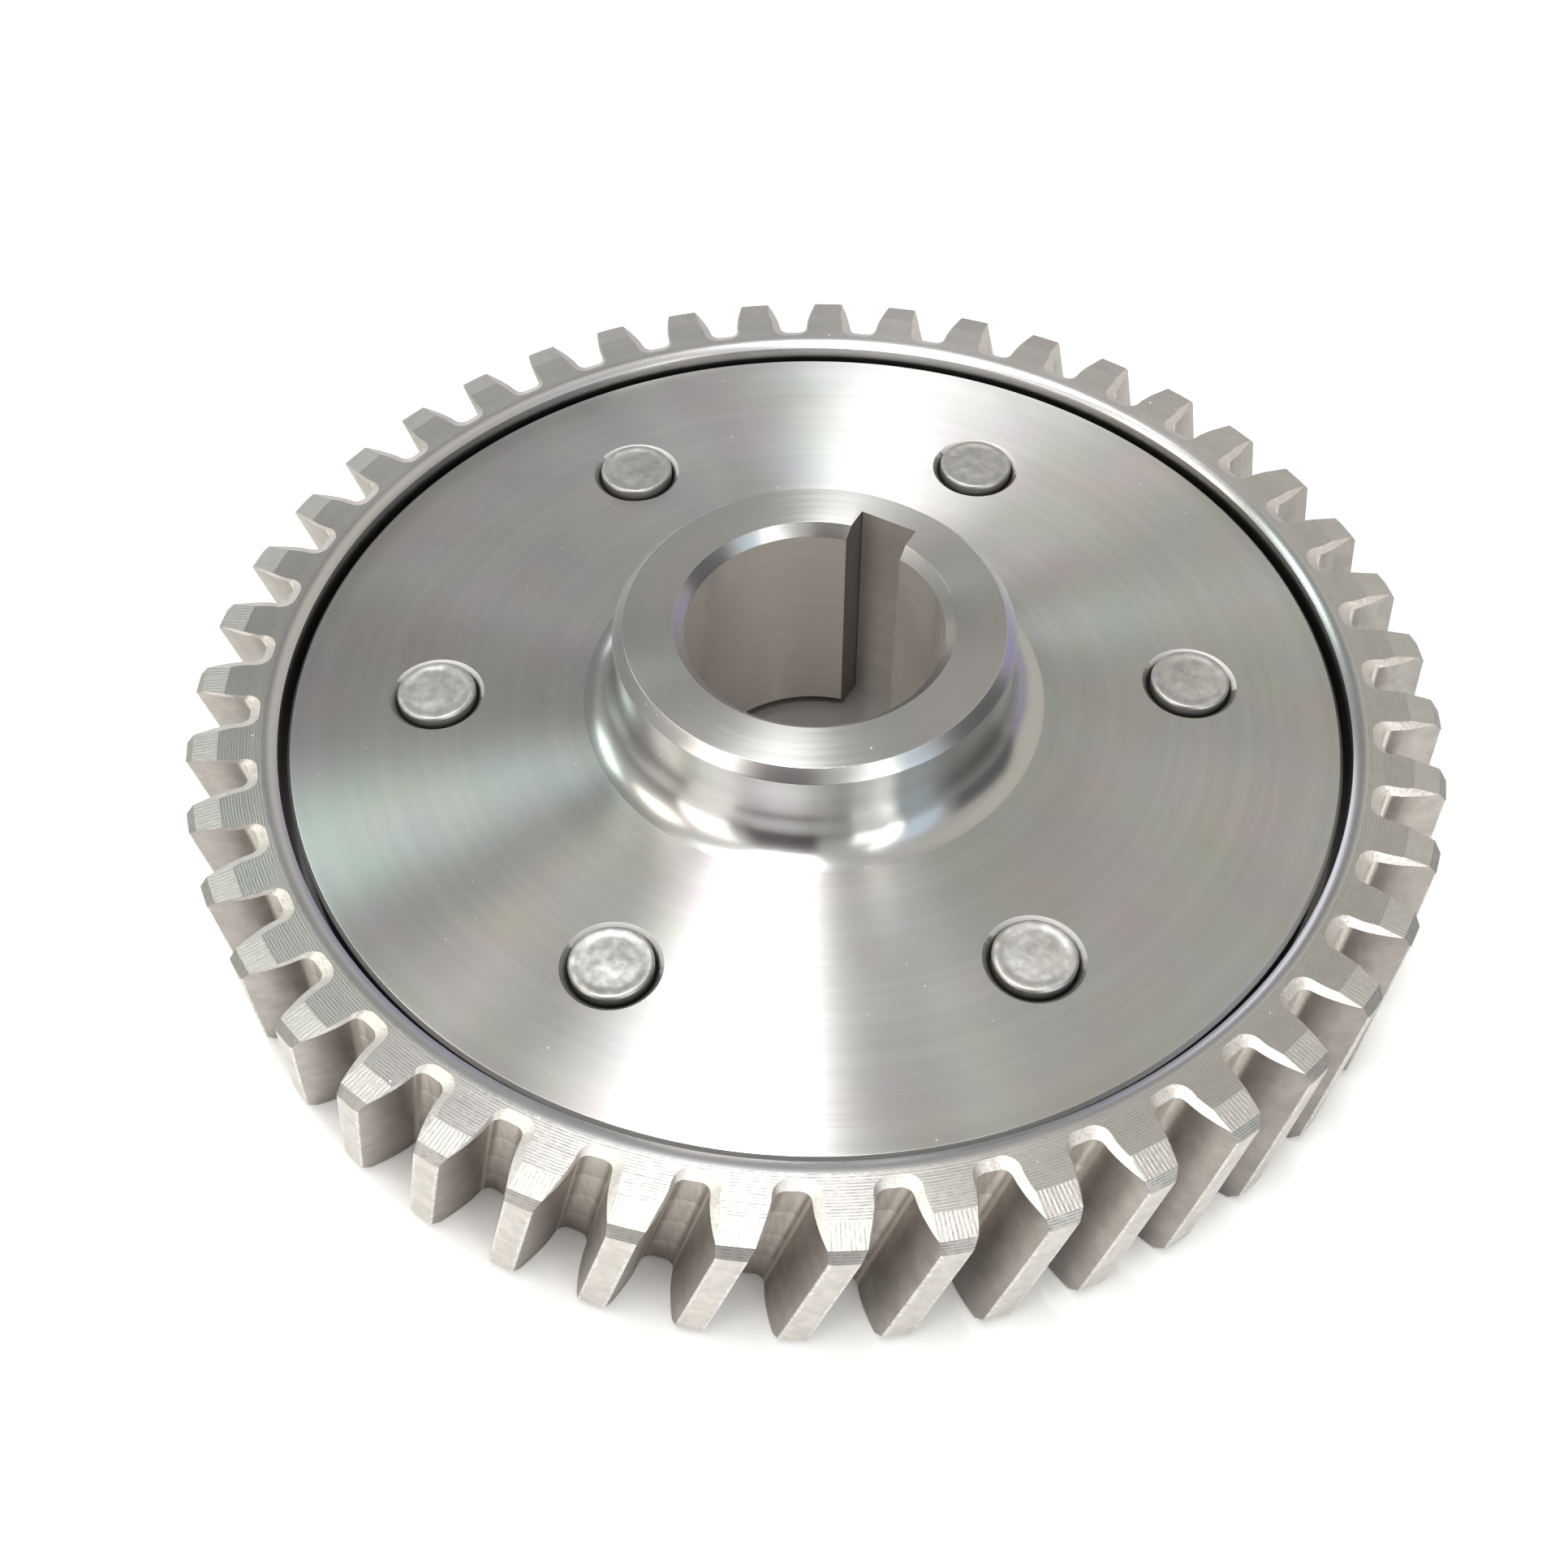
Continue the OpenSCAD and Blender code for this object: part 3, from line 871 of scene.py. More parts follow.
def rivet_nodes(finishes):
    """Geometry nodes that stand rivets on a circle, each turned and dented its own way."""
    graph, entry, leave = node_group("Rivets on a circle", [
        ("Count", "NodeSocketInt", 6),
        ("Radius", "NodeSocketFloat", 30 * MM),
        ("Dents", "NodeSocketFloat", 0.08 * MM),
        ("Dent size", "NodeSocketFloat", 1.1 * MM),
        ("Seed", "NodeSocketInt", 4),
    ])
    ring = graph.add("GeometryNodeMeshCircle", {
        "Vertices": entry.outputs["Count"], "Radius": entry.outputs["Radius"]})
    quarter = graph.add("GeometryNodeTransform", {
        "Geometry": ring.outputs["Mesh"], "Rotation": Euler((0.0, 0.0, math.pi / 2))})
    spin = graph.add("FunctionNodeRandomValue", {"Seed": entry.outputs["Seed"]})
    graph.feed(spin.inputs[2], 0.0)
    graph.feed(spin.inputs[3], FULL_TURN)
    turn = graph.add("ShaderNodeCombineXYZ", {2: spin.outputs[1]})
    place = graph.add("GeometryNodeInstanceOnPoints", {
        "Points": quarter.outputs["Geometry"], "Instance": entry.outputs["Geometry"],
        "Rotation": turn.outputs[0]})
    real = graph.add("GeometryNodeRealizeInstances", {"Geometry": place.outputs["Instances"]})
    dents = graph.add("GeometryNodeInputNamedAttribute", {"Name": "dents"}, data_type="FLOAT")
    field = noise_field(graph, entry, "Dent size", 0.55)
    height = graph.math("SUBTRACT", field.outputs[0], 0.5)
    height = graph.math("MULTIPLY", height, entry.outputs["Dents"])
    height = graph.math("MULTIPLY", height, dents.outputs[0])
    lift = graph.add("ShaderNodeCombineXYZ", {2: height})
    moved = graph.add("GeometryNodeSetPosition", {
        "Geometry": real.outputs["Geometry"], "Offset": lift.outputs[0]})
    finish_zones(graph, moved.outputs["Geometry"], finishes, leave)
    return graph


class GEAR_OT_rivets(bpy.types.Operator):
    """Build the rivets, repeated by geometry nodes with their own dents"""
    bl_idname = "gear.rivets"
    bl_label = "Rivets"

    def execute(self, context):
        rivets = context.scene.gear_rivets
        carrier = bpy.data.objects.new("rivet_blank", mesh_from("rivet_blank", rivet_blank))
        context.scene.collection.objects.link(carrier)
        finishes = rivet_finishes()
        carrier.data.materials.append(finishes[RIVET_SIDE])
        mesh = apply_nodes(carrier, rivet_nodes(finishes), {
            "Count": len(RIVET_NODES), "Radius": rivets.circle, "Dents": rivets.dents,
            "Dent size": 1.1 * MM, "Seed": rivets.seed})
        if len(mesh.polygons) == 0:
            raise RuntimeError("no rivets were made")
        shade(mesh, math.radians(40))
        add_piece("rivet_set", mesh, "rivet_steel", *RIVET_NODES)
        return {"FINISHED"}


# Finishes

def new_material(name):
    material = bpy.data.materials.new(name)
    material.use_nodes = True
    material.node_tree.nodes.clear()
    graph = Tree(material.node_tree)
    output = graph.add("ShaderNodeOutputMaterial")
    return material, graph, output


class Place:
    """The shaded point: its place, and its radius, height and angle round the axis."""

    def __init__(self, graph):
        self.point = graph.add("ShaderNodeTexCoord").outputs["Object"]
        self.x, y, self.z = graph.split(self.point)
        self.radius = graph.vector("LENGTH", graph.join(self.x, y))
        self.turn = graph.math("ARCTAN2", y, self.x)


# Colour of small nicks, and of the painted highlight on the holes' mouths
NICK_AND_HIGHLIGHT_TONE = (0.95, 0.94, 0.92, 1.0)
NICK_ROUGHNESS = 0.6
CLOUD_SIZE = 1 / 60.0
IRIDESCENCE_SIZE = 7 * MM
ROUGH_SPREAD = 0.08


def steel(name, base, rough=0.3, aniso=0.0, pitch=0.2 * MM, slope=0.05, ridge=0.0, groove=0.0,
          stray=0.01, tint=0.04, iridescence=0.0, specks=0.0, along="across", grain=0.0,
          grain_size=0.3 * MM, metal=1.0, paint=None):
    """Cut steel. Tool marks run round the axis, or along it, at a pitch. They tilt the surface
    by slope at random and by ridge in even steps, and groove darkens their valleys as painted
    shade. Stray tilts along the marks, tint varies shade slowly, iridescence varies hue slowly
    as a painted iridescent sheen, specks adds small bright nicks, grain tilts the surface at
    random, and paint(graph, at, tone, roughness) adds the rest."""
    material, graph, output = new_material(name)
    at = Place(graph)
    normal = graph.add("ShaderNodeNewGeometry").outputs["Normal"]
    around = graph.vector("NORMALIZE", graph.vector("CROSS_PRODUCT", (0.0, 0.0, 1.0), at.point))
    across = graph.vector("NORMALIZE", graph.vector("CROSS_PRODUCT", around, normal))
    if along == "axis":
        run = graph.math("MULTIPLY", at.turn, ring_radii()[0])
        across, around = around, across
        marks = graph.join(run)
    else:
        run = graph.math("SUBTRACT", at.radius, at.z)
        marks = graph.join(at.radius, at.z)
    # Tilts of the tool marks: at random, in even steps, and along the marks
    fine = graph.noise(marks, pitch, 2.0, 0.6)
    tilt = graph.math("MULTIPLY", graph.math("SUBTRACT", fine, 0.5), 2 * slope)
    if ridge or groove:
        patchy = graph.noise(at.point, 1.3 * MM, 3.0, 0.6)
        phase = graph.math("MULTIPLY", run, FULL_TURN / pitch)
        phase = graph.math("ADD", phase, graph.math("MULTIPLY", patchy, 2.0))
        broken = graph.noise(at.point, 0.5 * MM, 3.0, 0.7)
        strength = graph.span(broken, 0.4, 0.6, 0.1, 1.0)
        wave = graph.math("MULTIPLY", graph.math("SINE", phase), strength)
        tilt = graph.math("ADD", tilt, graph.math("MULTIPLY", wave, ridge))
    elsewhere = graph.vector("ADD", marks, (7.3, 1.9, 4.4))
    slip = graph.noise(elsewhere, pitch / 0.7, 2.0, 0.7)
    drift = graph.math("MULTIPLY", graph.math("SUBTRACT", slip, 0.5), 2 * stray)
    bent = graph.tilt(graph.tilt(normal, across, tilt), around, drift)
    if grain:
        dust = graph.noise(at.point, grain_size, 3.0, output=1)
        lean = graph.vector("SUBTRACT", dust, (0.5, 0.5, 0.5))
        bent = graph.tilt(bent, lean, 2 * grain)
    bent = graph.vector("NORMALIZE", bent)
    # Slow change of shade and hue over the part, the hue as a painted iridescent
    # sheen, and darker marks as painted shade in their valleys
    cloud = graph.noise(at.point, CLOUD_SIZE, 4.0, 0.6)
    shade_of = graph.span(cloud, 0.3, 0.7, 1 - tint, 1 + tint)
    # Painted shade in the valleys of the tool marks
    if groove:
        dark = graph.span(wave, -0.9, 0.1, 1 - groove, 1.0)
        shade_of = graph.math("MULTIPLY", shade_of, dark)
    coarse = graph.noise(marks, pitch / 0.17, 1.0)
    shade_of = graph.math("MULTIPLY", shade_of, graph.span(coarse, 0.3, 0.7, 0.97, 1.03))
    tone = graph.vector("SCALE", tuple(base), scale=shade_of)
    # Painted iridescent sheen: the hue shifts slowly, standing in for rainbow tints of light on
    # fine turning marks
    if iridescence:
        hue = graph.noise(at.point, IRIDESCENCE_SIZE, 1.0, output=1)
        shift = graph.vector("SUBTRACT", hue, (0.5, 0.5, 0.5))
        tone = graph.vector("MULTIPLY", tone, graph.tilt((1.0, 1.0, 1.0), shift, 2 * iridescence))
    roughness = graph.span(cloud, 0.3, 0.7, rough * (1 - ROUGH_SPREAD), rough * (1 + ROUGH_SPREAD))
    if specks:
        mask = speck_mask(graph, at.point, specks)
        tone = graph.mix(mask, tone, NICK_AND_HIGHLIGHT_TONE)
        roughness = graph.math("MAXIMUM", roughness, graph.math("MULTIPLY", mask, NICK_ROUGHNESS))
    if paint:
        tone, roughness = paint(graph, at, tone, roughness)
    shader = graph.add("ShaderNodeBsdfPrincipled", {
        "Base Color": tone, "Metallic": metal, "Roughness": roughness, "Normal": bent,
        "Anisotropic": aniso})
    if aniso:
        graph.feed(shader.inputs["Tangent"], across)
    graph.feed(output.inputs["Surface"], shader.outputs[0])
    return material


def speck_mask(graph, point, share):
    """Small round nicks in a share of the cells of a random grid."""
    cell = 1.3 * MM
    largest = 0.07
    cells = graph.add("ShaderNodeTexVoronoi", {"Vector": point, "Scale": 1 / cell})
    pick = graph.split(cells.outputs["Color"])
    here = graph.math("LESS_THAN", pick[0], share)
    size = graph.math("MULTIPLY", pick[1], largest)
    return graph.math("MULTIPLY", here, graph.math("LESS_THAN", cells.outputs["Distance"], size))


def tooth_share(graph, at):
    """Place across a tooth at a point: 0 at its middle and half at the middle of a space."""
    teeth = bpy.context.scene.gear_teeth
    twist = math.tan(teeth.helix) / ring_radii()[0]
    start = math.pi / 2 + teeth.turn - twist * face_width() / 2
    local = graph.math("SUBTRACT", graph.math("SUBTRACT", at.turn, start),
                       graph.math("MULTIPLY", at.z, twist))
    count = graph.math("ADD", graph.math("MULTIPLY", local, teeth.count / FULL_TURN), 0.5)
    return graph.math("ABSOLUTE", graph.math("SUBTRACT", graph.math("FRACT", count), 0.5))


def mottled(graph, at, tone, size, low, high, detail=4.0, rough=0.65):
    """A tone scaled between low and high in blotches of a size."""
    blotch = graph.noise(at.point, size, detail, rough)
    return graph.vector("SCALE", tone, scale=graph.span(blotch, 0.35, 0.65, low, high))


def paint_space(graph, at, tone, roughness):
    """Mottled flanks, and the root painted lighter in light and dark bands by the hob's steps,
    as painted light and shade of the hob's facets, with a painted highlight along its corner.
    """
    teeth = bpy.context.scene.gear_teeth
    root = ring_radii()[3]
    tone = mottled(graph, at, tone, 1.6 * MM, 0.86, 1.08)
    # Painted light: the root takes a lighter tone, in bands lighter and darker by hob step for
    # light and shade on its facets
    low = graph.span(at.radius, root + 0.3 * MM, root + 1.1 * MM, 1.0, 0.0, smooth=True)
    step = graph.math("FRACT", graph.math("DIVIDE", at.z, teeth.hob_feed))
    band = graph.span(step, 0.0, 1.0, 0.80, 1.08)
    drawn = graph.vector("MULTIPLY", at.point, (1.0, 1.0, 0.12))
    streak = graph.noise(drawn, 0.25 * MM, 2.0)
    band = graph.math("MULTIPLY", band, graph.span(streak, 0.3, 0.7, 0.9, 1.1))
    tone = graph.mix(low, tone, graph.vector("SCALE", (0.64, 0.595, 0.55), scale=band))
    # A painted highlight: a bright line along the corner between root and flank
    rise = graph.span(at.radius, root + 0.30 * MM, root + 0.45 * MM)
    fall = graph.span(at.radius, root + 0.60 * MM, root + 0.80 * MM, 1.0, 0.0)
    corner = graph.math("MULTIPLY", graph.math("MULTIPLY", rise, fall), 0.9)
    return graph.mix(corner, tone, (0.97, 0.92, 0.86, 1.0)), roughness


def paint_tip(graph, at, tone, roughness):
    """Tip lands with bright nicks along their edges."""
    edge = half_tooth(ring_radii()[2]) * bpy.context.scene.gear_teeth.count / FULL_TURN
    near_edge = graph.span(tooth_share(graph, at), edge * 0.62, edge * 0.95, smooth=True)
    chips = graph.noise(at.point, 0.45 * MM, 3.0, 0.7)
    chips = graph.math("ADD", chips, graph.math("MULTIPLY", near_edge, 0.22))
    tone = mottled(graph, at, tone, 1.1 * MM, 0.9, 1.06, 3.0, 0.6)
    return graph.mix(graph.span(chips, 0.66, 0.72), tone, (0.97, 0.96, 0.94, 1.0)), roughness


def paint_band(graph, at, tone, roughness):
    """Short dark drag marks across the tip band, in broken rows."""
    distance = 0.29 * MM
    run = graph.math("MULTIPLY", at.turn, ring_radii()[2])
    phase = graph.math("MULTIPLY", run, FULL_TURN / distance)
    wander = graph.noise(at.point, 1.0 * MM, 2.0)
    wave = graph.math("SINE", graph.math("ADD", phase, graph.math("MULTIPLY", wander, 6.0)))
    rows = graph.noise(at.point, 0.55 * MM, 1.0)
    amount = graph.math("MULTIPLY", graph.span(wave, 0.0, 0.7), graph.span(rows, 0.42, 0.55))
    dark = graph.vector("SCALE", tone, scale=0.62)
    return graph.mix(graph.math("MULTIPLY", amount, 0.3), tone, dark), roughness


# Angle round a hole's axis of the middle of the painted highlight on its edge
HIGHLIGHT_SIDE = 100.0


def paint_hole(graph, at, tone, roughness):
    """Painted shade in the gap round a rivet, lighter towards the mouth, with a painted
    highlight on one side of each mouth, ragged like a bruised edge.
    """
    circle = bpy.context.scene.gear_rivets.circle
    disc_top = web_levels()[0]
    step = FULL_TURN / len(RIVET_NODES)
    count = graph.math("DIVIDE", graph.math("SUBTRACT", at.turn, math.pi / 2), step)
    middle = graph.math("MULTIPLY", graph.math("ROUND", count), step)
    middle = graph.math("ADD", middle, math.pi / 2)
    centre = graph.join(graph.math("MULTIPLY", graph.math("COSINE", middle), circle),
                        graph.math("MULTIPLY", graph.math("SINE", middle), circle))
    out = graph.vector("MULTIPLY", graph.vector("SUBTRACT", at.point, centre), (1.0, 1.0, 0.0))
    side = graph.vector("DOT_PRODUCT", graph.vector("NORMALIZE", out), compass(HIGHLIGHT_SIDE, 0.0))
    ragged = graph.noise(at.point, 0.6 * MM, 3.0, 0.6)
    side = graph.math("ADD", side, graph.math("SUBTRACT", ragged, 0.5))
    # Painted shade: the gap is darkest deep in the hole and lighter near its mouth
    mouth = graph.span(at.z, disc_top - 0.5 * MM, disc_top - 0.15 * MM, smooth=True)
    tone = graph.mix(mouth, tone, (0.52, 0.51, 0.50, 1.0))
    # Painted highlight: a bright ragged patch on the side of each mouth's edge that is turned to
    # the light
    depth = graph.math("ADD", at.z, graph.math("MULTIPLY", ragged, 0.12 * MM))
    high = graph.span(depth, disc_top - 0.32 * MM, disc_top - 0.18 * MM)
    painted_highlight = graph.math("MULTIPLY", graph.span(side, 0.1, 0.3), high)
    roughness = graph.math("ADD", roughness, graph.math("MULTIPLY", painted_highlight, 0.15))
    return graph.mix(painted_highlight, tone, NICK_AND_HIGHLIGHT_TONE), roughness


def paint_key(graph, at, tone, roughness):
    """Keyway with painted shade on its side walls, darker than its floor."""
    half = bpy.context.scene.gear_body.key_width / 2
    # Painted shade on both side walls of the keyway
    side = graph.span(graph.math("ABSOLUTE", at.x), half - 0.1 * MM, half - 0.02 * MM)
    return graph.mix(side, tone, (0.24, 0.23, 0.22, 1.0)), roughness


def paint_dish(graph, at, tone, roughness):
    """Mottled dish of a rivet."""
    return mottled(graph, at, tone, 0.8 * MM, 0.84, 1.10), roughness


def ring_finishes():
    """Materials of the ring's zones, in the zones' order."""
    tones = bpy.context.scene.gear_finish
    space = steel("hobbed_flank", tones.flank, 0.38, slope=0.05, stray=0.0, pitch=0.35 * MM,
                  tint=0.08, grain=0.04, metal=0.95, paint=paint_space)
    tip = steel("tip_land", tones.tip, 0.45, slope=0.02, pitch=0.5 * MM, tint=0.05, grain=0.05,
                metal=0.7, paint=paint_tip)
    bevel = steel("deburred_bevel", tones.bevel, 0.48, slope=0.05, pitch=0.12 * MM, grain=0.25,
                  grain_size=0.2 * MM, metal=0.88)
    band = steel("dragged_band", tones.band, 0.42, slope=0.05, ridge=0.12, pitch=0.3 * MM,
                 along="axis", grain=0.06, metal=0.85, paint=paint_band)
    chamfer = steel("tip_chamfer", tones.band, 0.45, slope=0.03, ridge=0.25, groove=0.55,
                    pitch=0.3 * MM, metal=0.7)
    face = steel("turned_end", tones.ring, 0.36, aniso=0.6, slope=0.05, ridge=0.11, groove=0.2,
                 stray=0.02, pitch=0.225 * MM, grain=0.03, specks=0.5, metal=0.9)
    lip = steel("rounded_lip", tones.lip, 0.27, aniso=0.6, slope=0.03, pitch=0.1 * MM)
    wall = steel("rim_wall", tones.wall, 0.24, aniso=0.3, slope=0.05, pitch=0.2 * MM)
    web = steel("web_face", tones.ring, 0.4, aniso=0.5, slope=0.1, pitch=0.25 * MM)
    return [space, tip, tip, bevel, band, chamfer, face, lip, wall, web]


def hub_finishes():
    """Materials of the hub flange, in the order of its finishes."""
    tones = bpy.context.scene.gear_finish
    disc = steel("turned_disc", tones.disc, 0.31, aniso=1.0, slope=0.03, stray=0.006,
                 pitch=0.12 * MM, iridescence=0.09, specks=0.9)
    top = steel("hub_top", tones.nose, 0.35, aniso=0.9, slope=0.05, stray=0.03,
                pitch=0.2 * MM, specks=0.5)
    wall = steel("hub_wall", tones.disc, 0.22, aniso=0.9, slope=0.03, stray=0.004,
                 pitch=0.15 * MM, specks=0.3)
    bore = steel("bore_wall", tones.bore, 0.26, aniso=0.6, slope=0.012, stray=0.003,
                 pitch=0.1 * MM, metal=0.68)
    edge = steel("turned_edge", tones.disc, 0.28, aniso=0.6, slope=0.05, pitch=0.1 * MM,
                 specks=1.0)
    back = steel("turned_back", tones.ring, 0.38, aniso=0.6, slope=0.1, ridge=0.1, groove=0.15,
                 pitch=0.22 * MM)
    key = steel("broached_key", tones.bore, 0.34, slope=0.05, pitch=0.3 * MM, metal=0.8,
                paint=paint_key)
    # Painted shade in the holes and round the disc, and a painted highlight on one side of each
    # mouth
    gap = steel("gap_shade_and_highlight", tones.gap, 0.5, slope=0.06, pitch=0.15 * MM, paint=paint_hole)
    return [disc, top, wall, bore, edge, back, key, gap]


def rivet_finishes():
    """Materials of a rivet's side, crown and head."""
    tones = bpy.context.scene.gear_finish
    # The sides are dark as painted shade inside the holes
    side = steel("rivet_side", tones.shade, 0.4, slope=0.03, grain=0.05)
    dish = steel("rivet_crown", tones.rivet, 0.42, slope=0.02, grain=0.09,
                 grain_size=0.8 * MM, tint=0.06, metal=0.95, paint=paint_dish)
    head = steel("rivet_head", tones.rivet, 0.4, slope=0.05, grain=0.08)
    return [side, dish, head]


# Stage

CAMERA_SPOT = (43.50 * MM, -82.16 * MM, 115.67 * MM)
AIM_SPOT = (1.97 * MM, -8.29 * MM, 0.0)
CAMERA_ROLL = math.radians(-0.348)
PHOTO_SIDE = 1932
FOCAL_PIXELS = 2129.6
CENTRE_PIXEL = (967.7, 1068.6)
SENSOR = 36.0


def build_camera():
    """The photograph's viewpoint."""
    data = bpy.data.cameras.new("Camera")
    data.sensor_width = SENSOR
    data.lens = FOCAL_PIXELS / PHOTO_SIDE * SENSOR
    data.shift_x = (PHOTO_SIDE / 2 - CENTRE_PIXEL[0]) / PHOTO_SIDE
    data.shift_y = (CENTRE_PIXEL[1] - PHOTO_SIDE / 2) / PHOTO_SIDE
    data.clip_start = 0.005
    data.clip_end = 20.0
    camera = bpy.data.objects.new("Camera", data)
    bpy.context.scene.collection.objects.link(camera)
    camera.location = CAMERA_SPOT
    aim = Vector(AIM_SPOT) - Vector(CAMERA_SPOT)
    camera.rotation_mode = "QUATERNION"
    turn = aim.to_track_quat("-Z", "Y")
    camera.rotation_quaternion = turn @ Matrix.Rotation(CAMERA_ROLL, 3, "Z").to_quaternion()
    bpy.context.scene.camera = camera


def build_floor(tones):
    """A glossy white table. Its own glow is seen by the camera only, so that it reads as
    white outside the object's shadow."""
    mesh = bpy.data.meshes.new("floor")
    half = 1.5
    mesh.from_pydata([(-half, -half, 0), (half, -half, 0), (half, half, 0), (-half, half, 0)],
                     [], [(0, 1, 2, 3)])
    floor = bpy.data.objects.new("floor", mesh)
    bpy.context.scene.collection.objects.link(floor)
    material, graph, output = new_material("white_table")
    place = graph.add("ShaderNodeTexCoord").outputs["Object"]
    reach = graph.vector("LENGTH", place)
    outer = ring_radii()[2]
    # Painted shade: near and under the gear the table takes the darker under tone and loses its
    # glow
    open_share = graph.span(reach, outer - 10 * MM, outer + 2 * MM, smooth=True)
    tone = graph.mix(open_share, (*tones.under, 1.0), (*tones.floor, 1.0))
    surface = graph.add("ShaderNodeBsdfPrincipled", {"Base Color": tone, "Roughness": 0.5})
    surface.inputs["Coat Weight"].default_value = 1.0
    surface.inputs["Coat Roughness"].default_value = 0.08
    glow = graph.add("ShaderNodeEmission", {"Strength": graph.math("MULTIPLY", open_share, 0.3)})
    seen = graph.add("ShaderNodeLightPath").outputs["Is Camera Ray"]
    both = graph.add("ShaderNodeAddShader", {0: surface.outputs[0], 1: glow.outputs[0]})
    plain = graph.add("ShaderNodeEmission", {"Strength": 1.0})
    distant = graph.span(reach, 120 * MM, 260 * MM, smooth=True)
    both = graph.add("ShaderNodeMixShader", {
        0: distant, 1: both.outputs[0], 2: plain.outputs[0]})
    chosen = graph.add("ShaderNodeMixShader", {
        0: seen, 1: surface.outputs[0], 2: both.outputs[0]})
    graph.feed(output.inputs["Surface"], chosen.outputs[0])
    mesh.materials.append(material)


def compass(degrees, height):
    """A direction from its angle round Z and its height above the horizon, in degrees."""
    a, e = math.radians(degrees), math.radians(height)
    return Vector((math.cos(a) * math.cos(e), math.sin(a) * math.cos(e), math.sin(e)))


def soft_box(name, direction, distance, width, depth, power, run):
    """An area lamp that faces the gear, with its depth along the direction of run."""
    data = bpy.data.lights.new(name, "AREA")
    data.shape = "RECTANGLE"
    data.size = width
    data.size_y = depth
    data.energy = power
    lamp = bpy.data.objects.new(name, data)
    back = direction.normalized()
    up = (run - run.dot(back) * back).normalized()
    lamp.matrix_world = Matrix.Translation(back * distance) @ Matrix(
        (up.cross(back), up, back)).transposed().to_4x4()
    bpy.context.scene.collection.objects.link(lamp)


def build_world():
    """A pale room: white to the camera, and soft walls of uneven brightness to the steel."""
    world = bpy.data.worlds.new("Room")
    bpy.context.scene.world = world
    world.use_nodes = True
    world.node_tree.nodes.clear()
    graph = Tree(world.node_tree)
    output = graph.add("ShaderNodeOutputWorld")
    way = graph.add("ShaderNodeTexCoord").outputs["Generated"]
    x, y, z = graph.split(way)
    turn = graph.math("ARCTAN2", y, x)
    climb = graph.math("ARCSINE", z)

    def band(value, low, high, soft):
        """1 between two angles in degrees, fading over soft at each."""
        low, high, soft = (math.radians(v) for v in (low, high, soft))
        rise = graph.span(value, low - soft / 2, low + soft / 2, smooth=True)
        fall = graph.span(value, high - soft / 2, high + soft / 2, 1.0, 0.0, smooth=True)
        return graph.math("MULTIPLY", rise, fall)

    share = band(climb, 20, 95, 34)
    tone = graph.mix(share, (*ROOM_WALL, 1.0), (*ROOM_CEILING, 1.0))
    for centre, half, low, high, soft, panel_tone in ROOM_PANELS:
        # Angle from the panel's centre, wrapped into half a turn each way
        aside = graph.math("SUBTRACT", turn, math.radians(centre))
        aside = graph.math("WRAP", aside, math.pi, -math.pi)
        mask = graph.math("MULTIPLY", band(aside, -half, half, soft), band(climb, low, high, soft))
        tone = graph.mix(mask, tone, (*panel_tone, 1.0))
    room = graph.add("ShaderNodeBackground", {"Color": tone, "Strength": 1.0})
    white = graph.add("ShaderNodeBackground", {"Color": (1.0, 1.0, 1.0, 1.0), "Strength": 1.0})
    seen = graph.add("ShaderNodeLightPath").outputs["Is Camera Ray"]
    chosen = graph.add("ShaderNodeMixShader", {0: seen, 1: room.outputs[0], 2: white.outputs[0]})
    graph.feed(output.inputs["Surface"], chosen.outputs[0])


ROOM_WALL = (0.27, 0.262, 0.255)
ROOM_CEILING = (0.60, 0.585, 0.555)

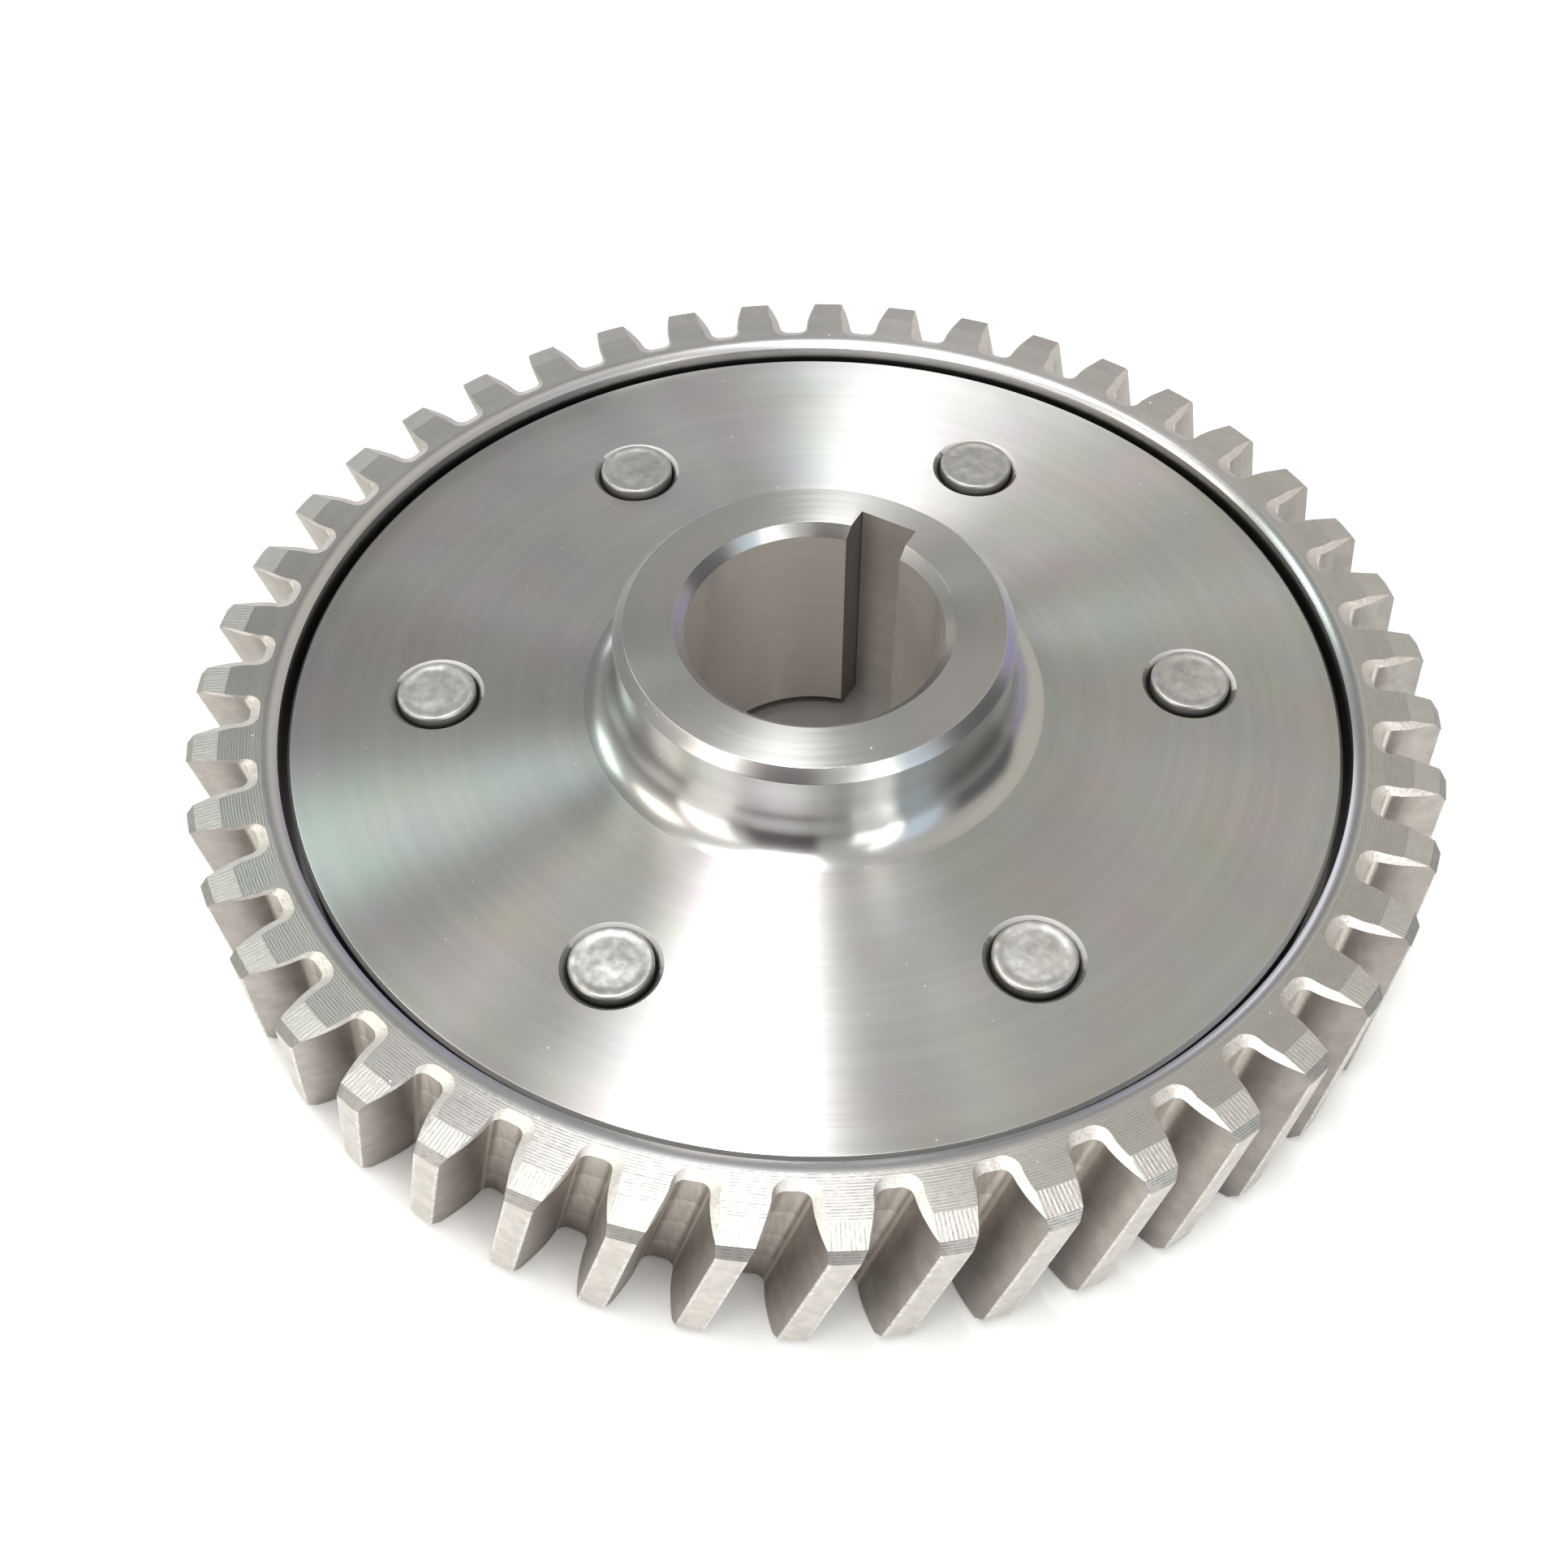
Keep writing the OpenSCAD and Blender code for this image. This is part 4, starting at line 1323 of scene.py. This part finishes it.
# Middle angle, half width, lowest and highest angle, softness and tone of each panel
ROOM_PANELS = [
    (78.0, 32.0, 18.0, 80.0, 20.0, (0.72, 0.68, 0.60)),
    (137.0, 24.0, 28.0, 62.0, 12.0, (0.27, 0.272, 0.268)),
    (140.0, 14.0, 10.0, 21.0, 3.0, (2.0, 2.0, 2.25)),
    (30.0, 20.0, -5.0, 40.0, 6.0, (0.12, 0.12, 0.13)),
    (205.0, 12.0, 44.0, 58.0, 4.0, (5.6, 5.2, 4.5)),
    (170.0, 6.0, 38.0, 50.0, 3.0, (5.4, 6.8, 6.1)),
    (284.0, 17.0, -5.0, 64.0, 2.5, (0.09, 0.065, 0.07)),
    (245.0, 13.0, 5.0, 55.0, 3.0, (2.5, 2.4, 2.25)),
    (325.0, 7.0, 8.0, 40.0, 2.0, (2.4, 2.4, 2.3)),
    (337.0, 4.0, 4.0, 62.0, 2.0, (4.0, 4.0, 3.9)),
    (353.0, 9.0, 4.0, 55.0, 4.0, (0.8, 0.95, 1.1)),
    (89.0, 37.0, -10.0, 14.0, 8.0, (0.40, 0.37, 0.62)),
]


class GEAR_OT_stage(bpy.types.Operator):
    """Set the camera, the table, the room and the lamp"""
    bl_idname = "gear.stage"
    bl_label = "Stage"

    def execute(self, context):
        build_camera()
        build_floor(context.scene.gear_finish)
        build_world()
        soft_box("overhead_box", compass(190, 84.0), 0.7, 0.15, 0.5, 2.2, compass(118, 0))
        context.scene.view_settings.view_transform = "Standard"
        return {"FINISHED"}


class GEAR_PT_sidebar(bpy.types.Panel):
    """Sizes, colours and build steps of the gear"""
    bl_idname = "GEAR_PT_sidebar"
    bl_label = "Balance Shaft Gear"
    bl_space_type = "VIEW_3D"
    bl_region_type = "UI"
    bl_category = "Gear"

    def draw(self, context):
        layout = self.layout
        for kind in OPERATORS:
            layout.operator(kind.bl_idname)
        for label, group in (("Teeth", "gear_teeth"), ("Body", "gear_body"),
                             ("Rivets", "gear_rivets"), ("Finish", "gear_finish")):
            box = layout.box()
            box.label(text=label)
            settings = getattr(context.scene, group)
            for name in settings.__annotations__:
                box.prop(settings, name)


GROUPS = {
    "gear_teeth": ToothSizes,
    "gear_body": BodySizes,
    "gear_rivets": RivetSizes,
    "gear_finish": FinishColours,
}
OPERATORS = (GEAR_OT_toothed_ring, GEAR_OT_hub_flange, GEAR_OT_rivets, GEAR_OT_stage)


def register():
    for kind in (*GROUPS.values(), *OPERATORS, GEAR_PT_sidebar):
        bpy.utils.register_class(kind)
    for name, kind in GROUPS.items():
        setattr(bpy.types.Scene, name, PointerProperty(type=kind))


def unregister():
    for name in GROUPS:
        delattr(bpy.types.Scene, name)
    for kind in reversed((*GROUPS.values(), *OPERATORS, GEAR_PT_sidebar)):
        bpy.utils.unregister_class(kind)


def main():
    register()
    bpy.ops.gear.toothed_ring()
    bpy.ops.gear.hub_flange()
    bpy.ops.gear.rivets()
    bpy.ops.gear.stage()


if __name__ == "__main__":
    main()
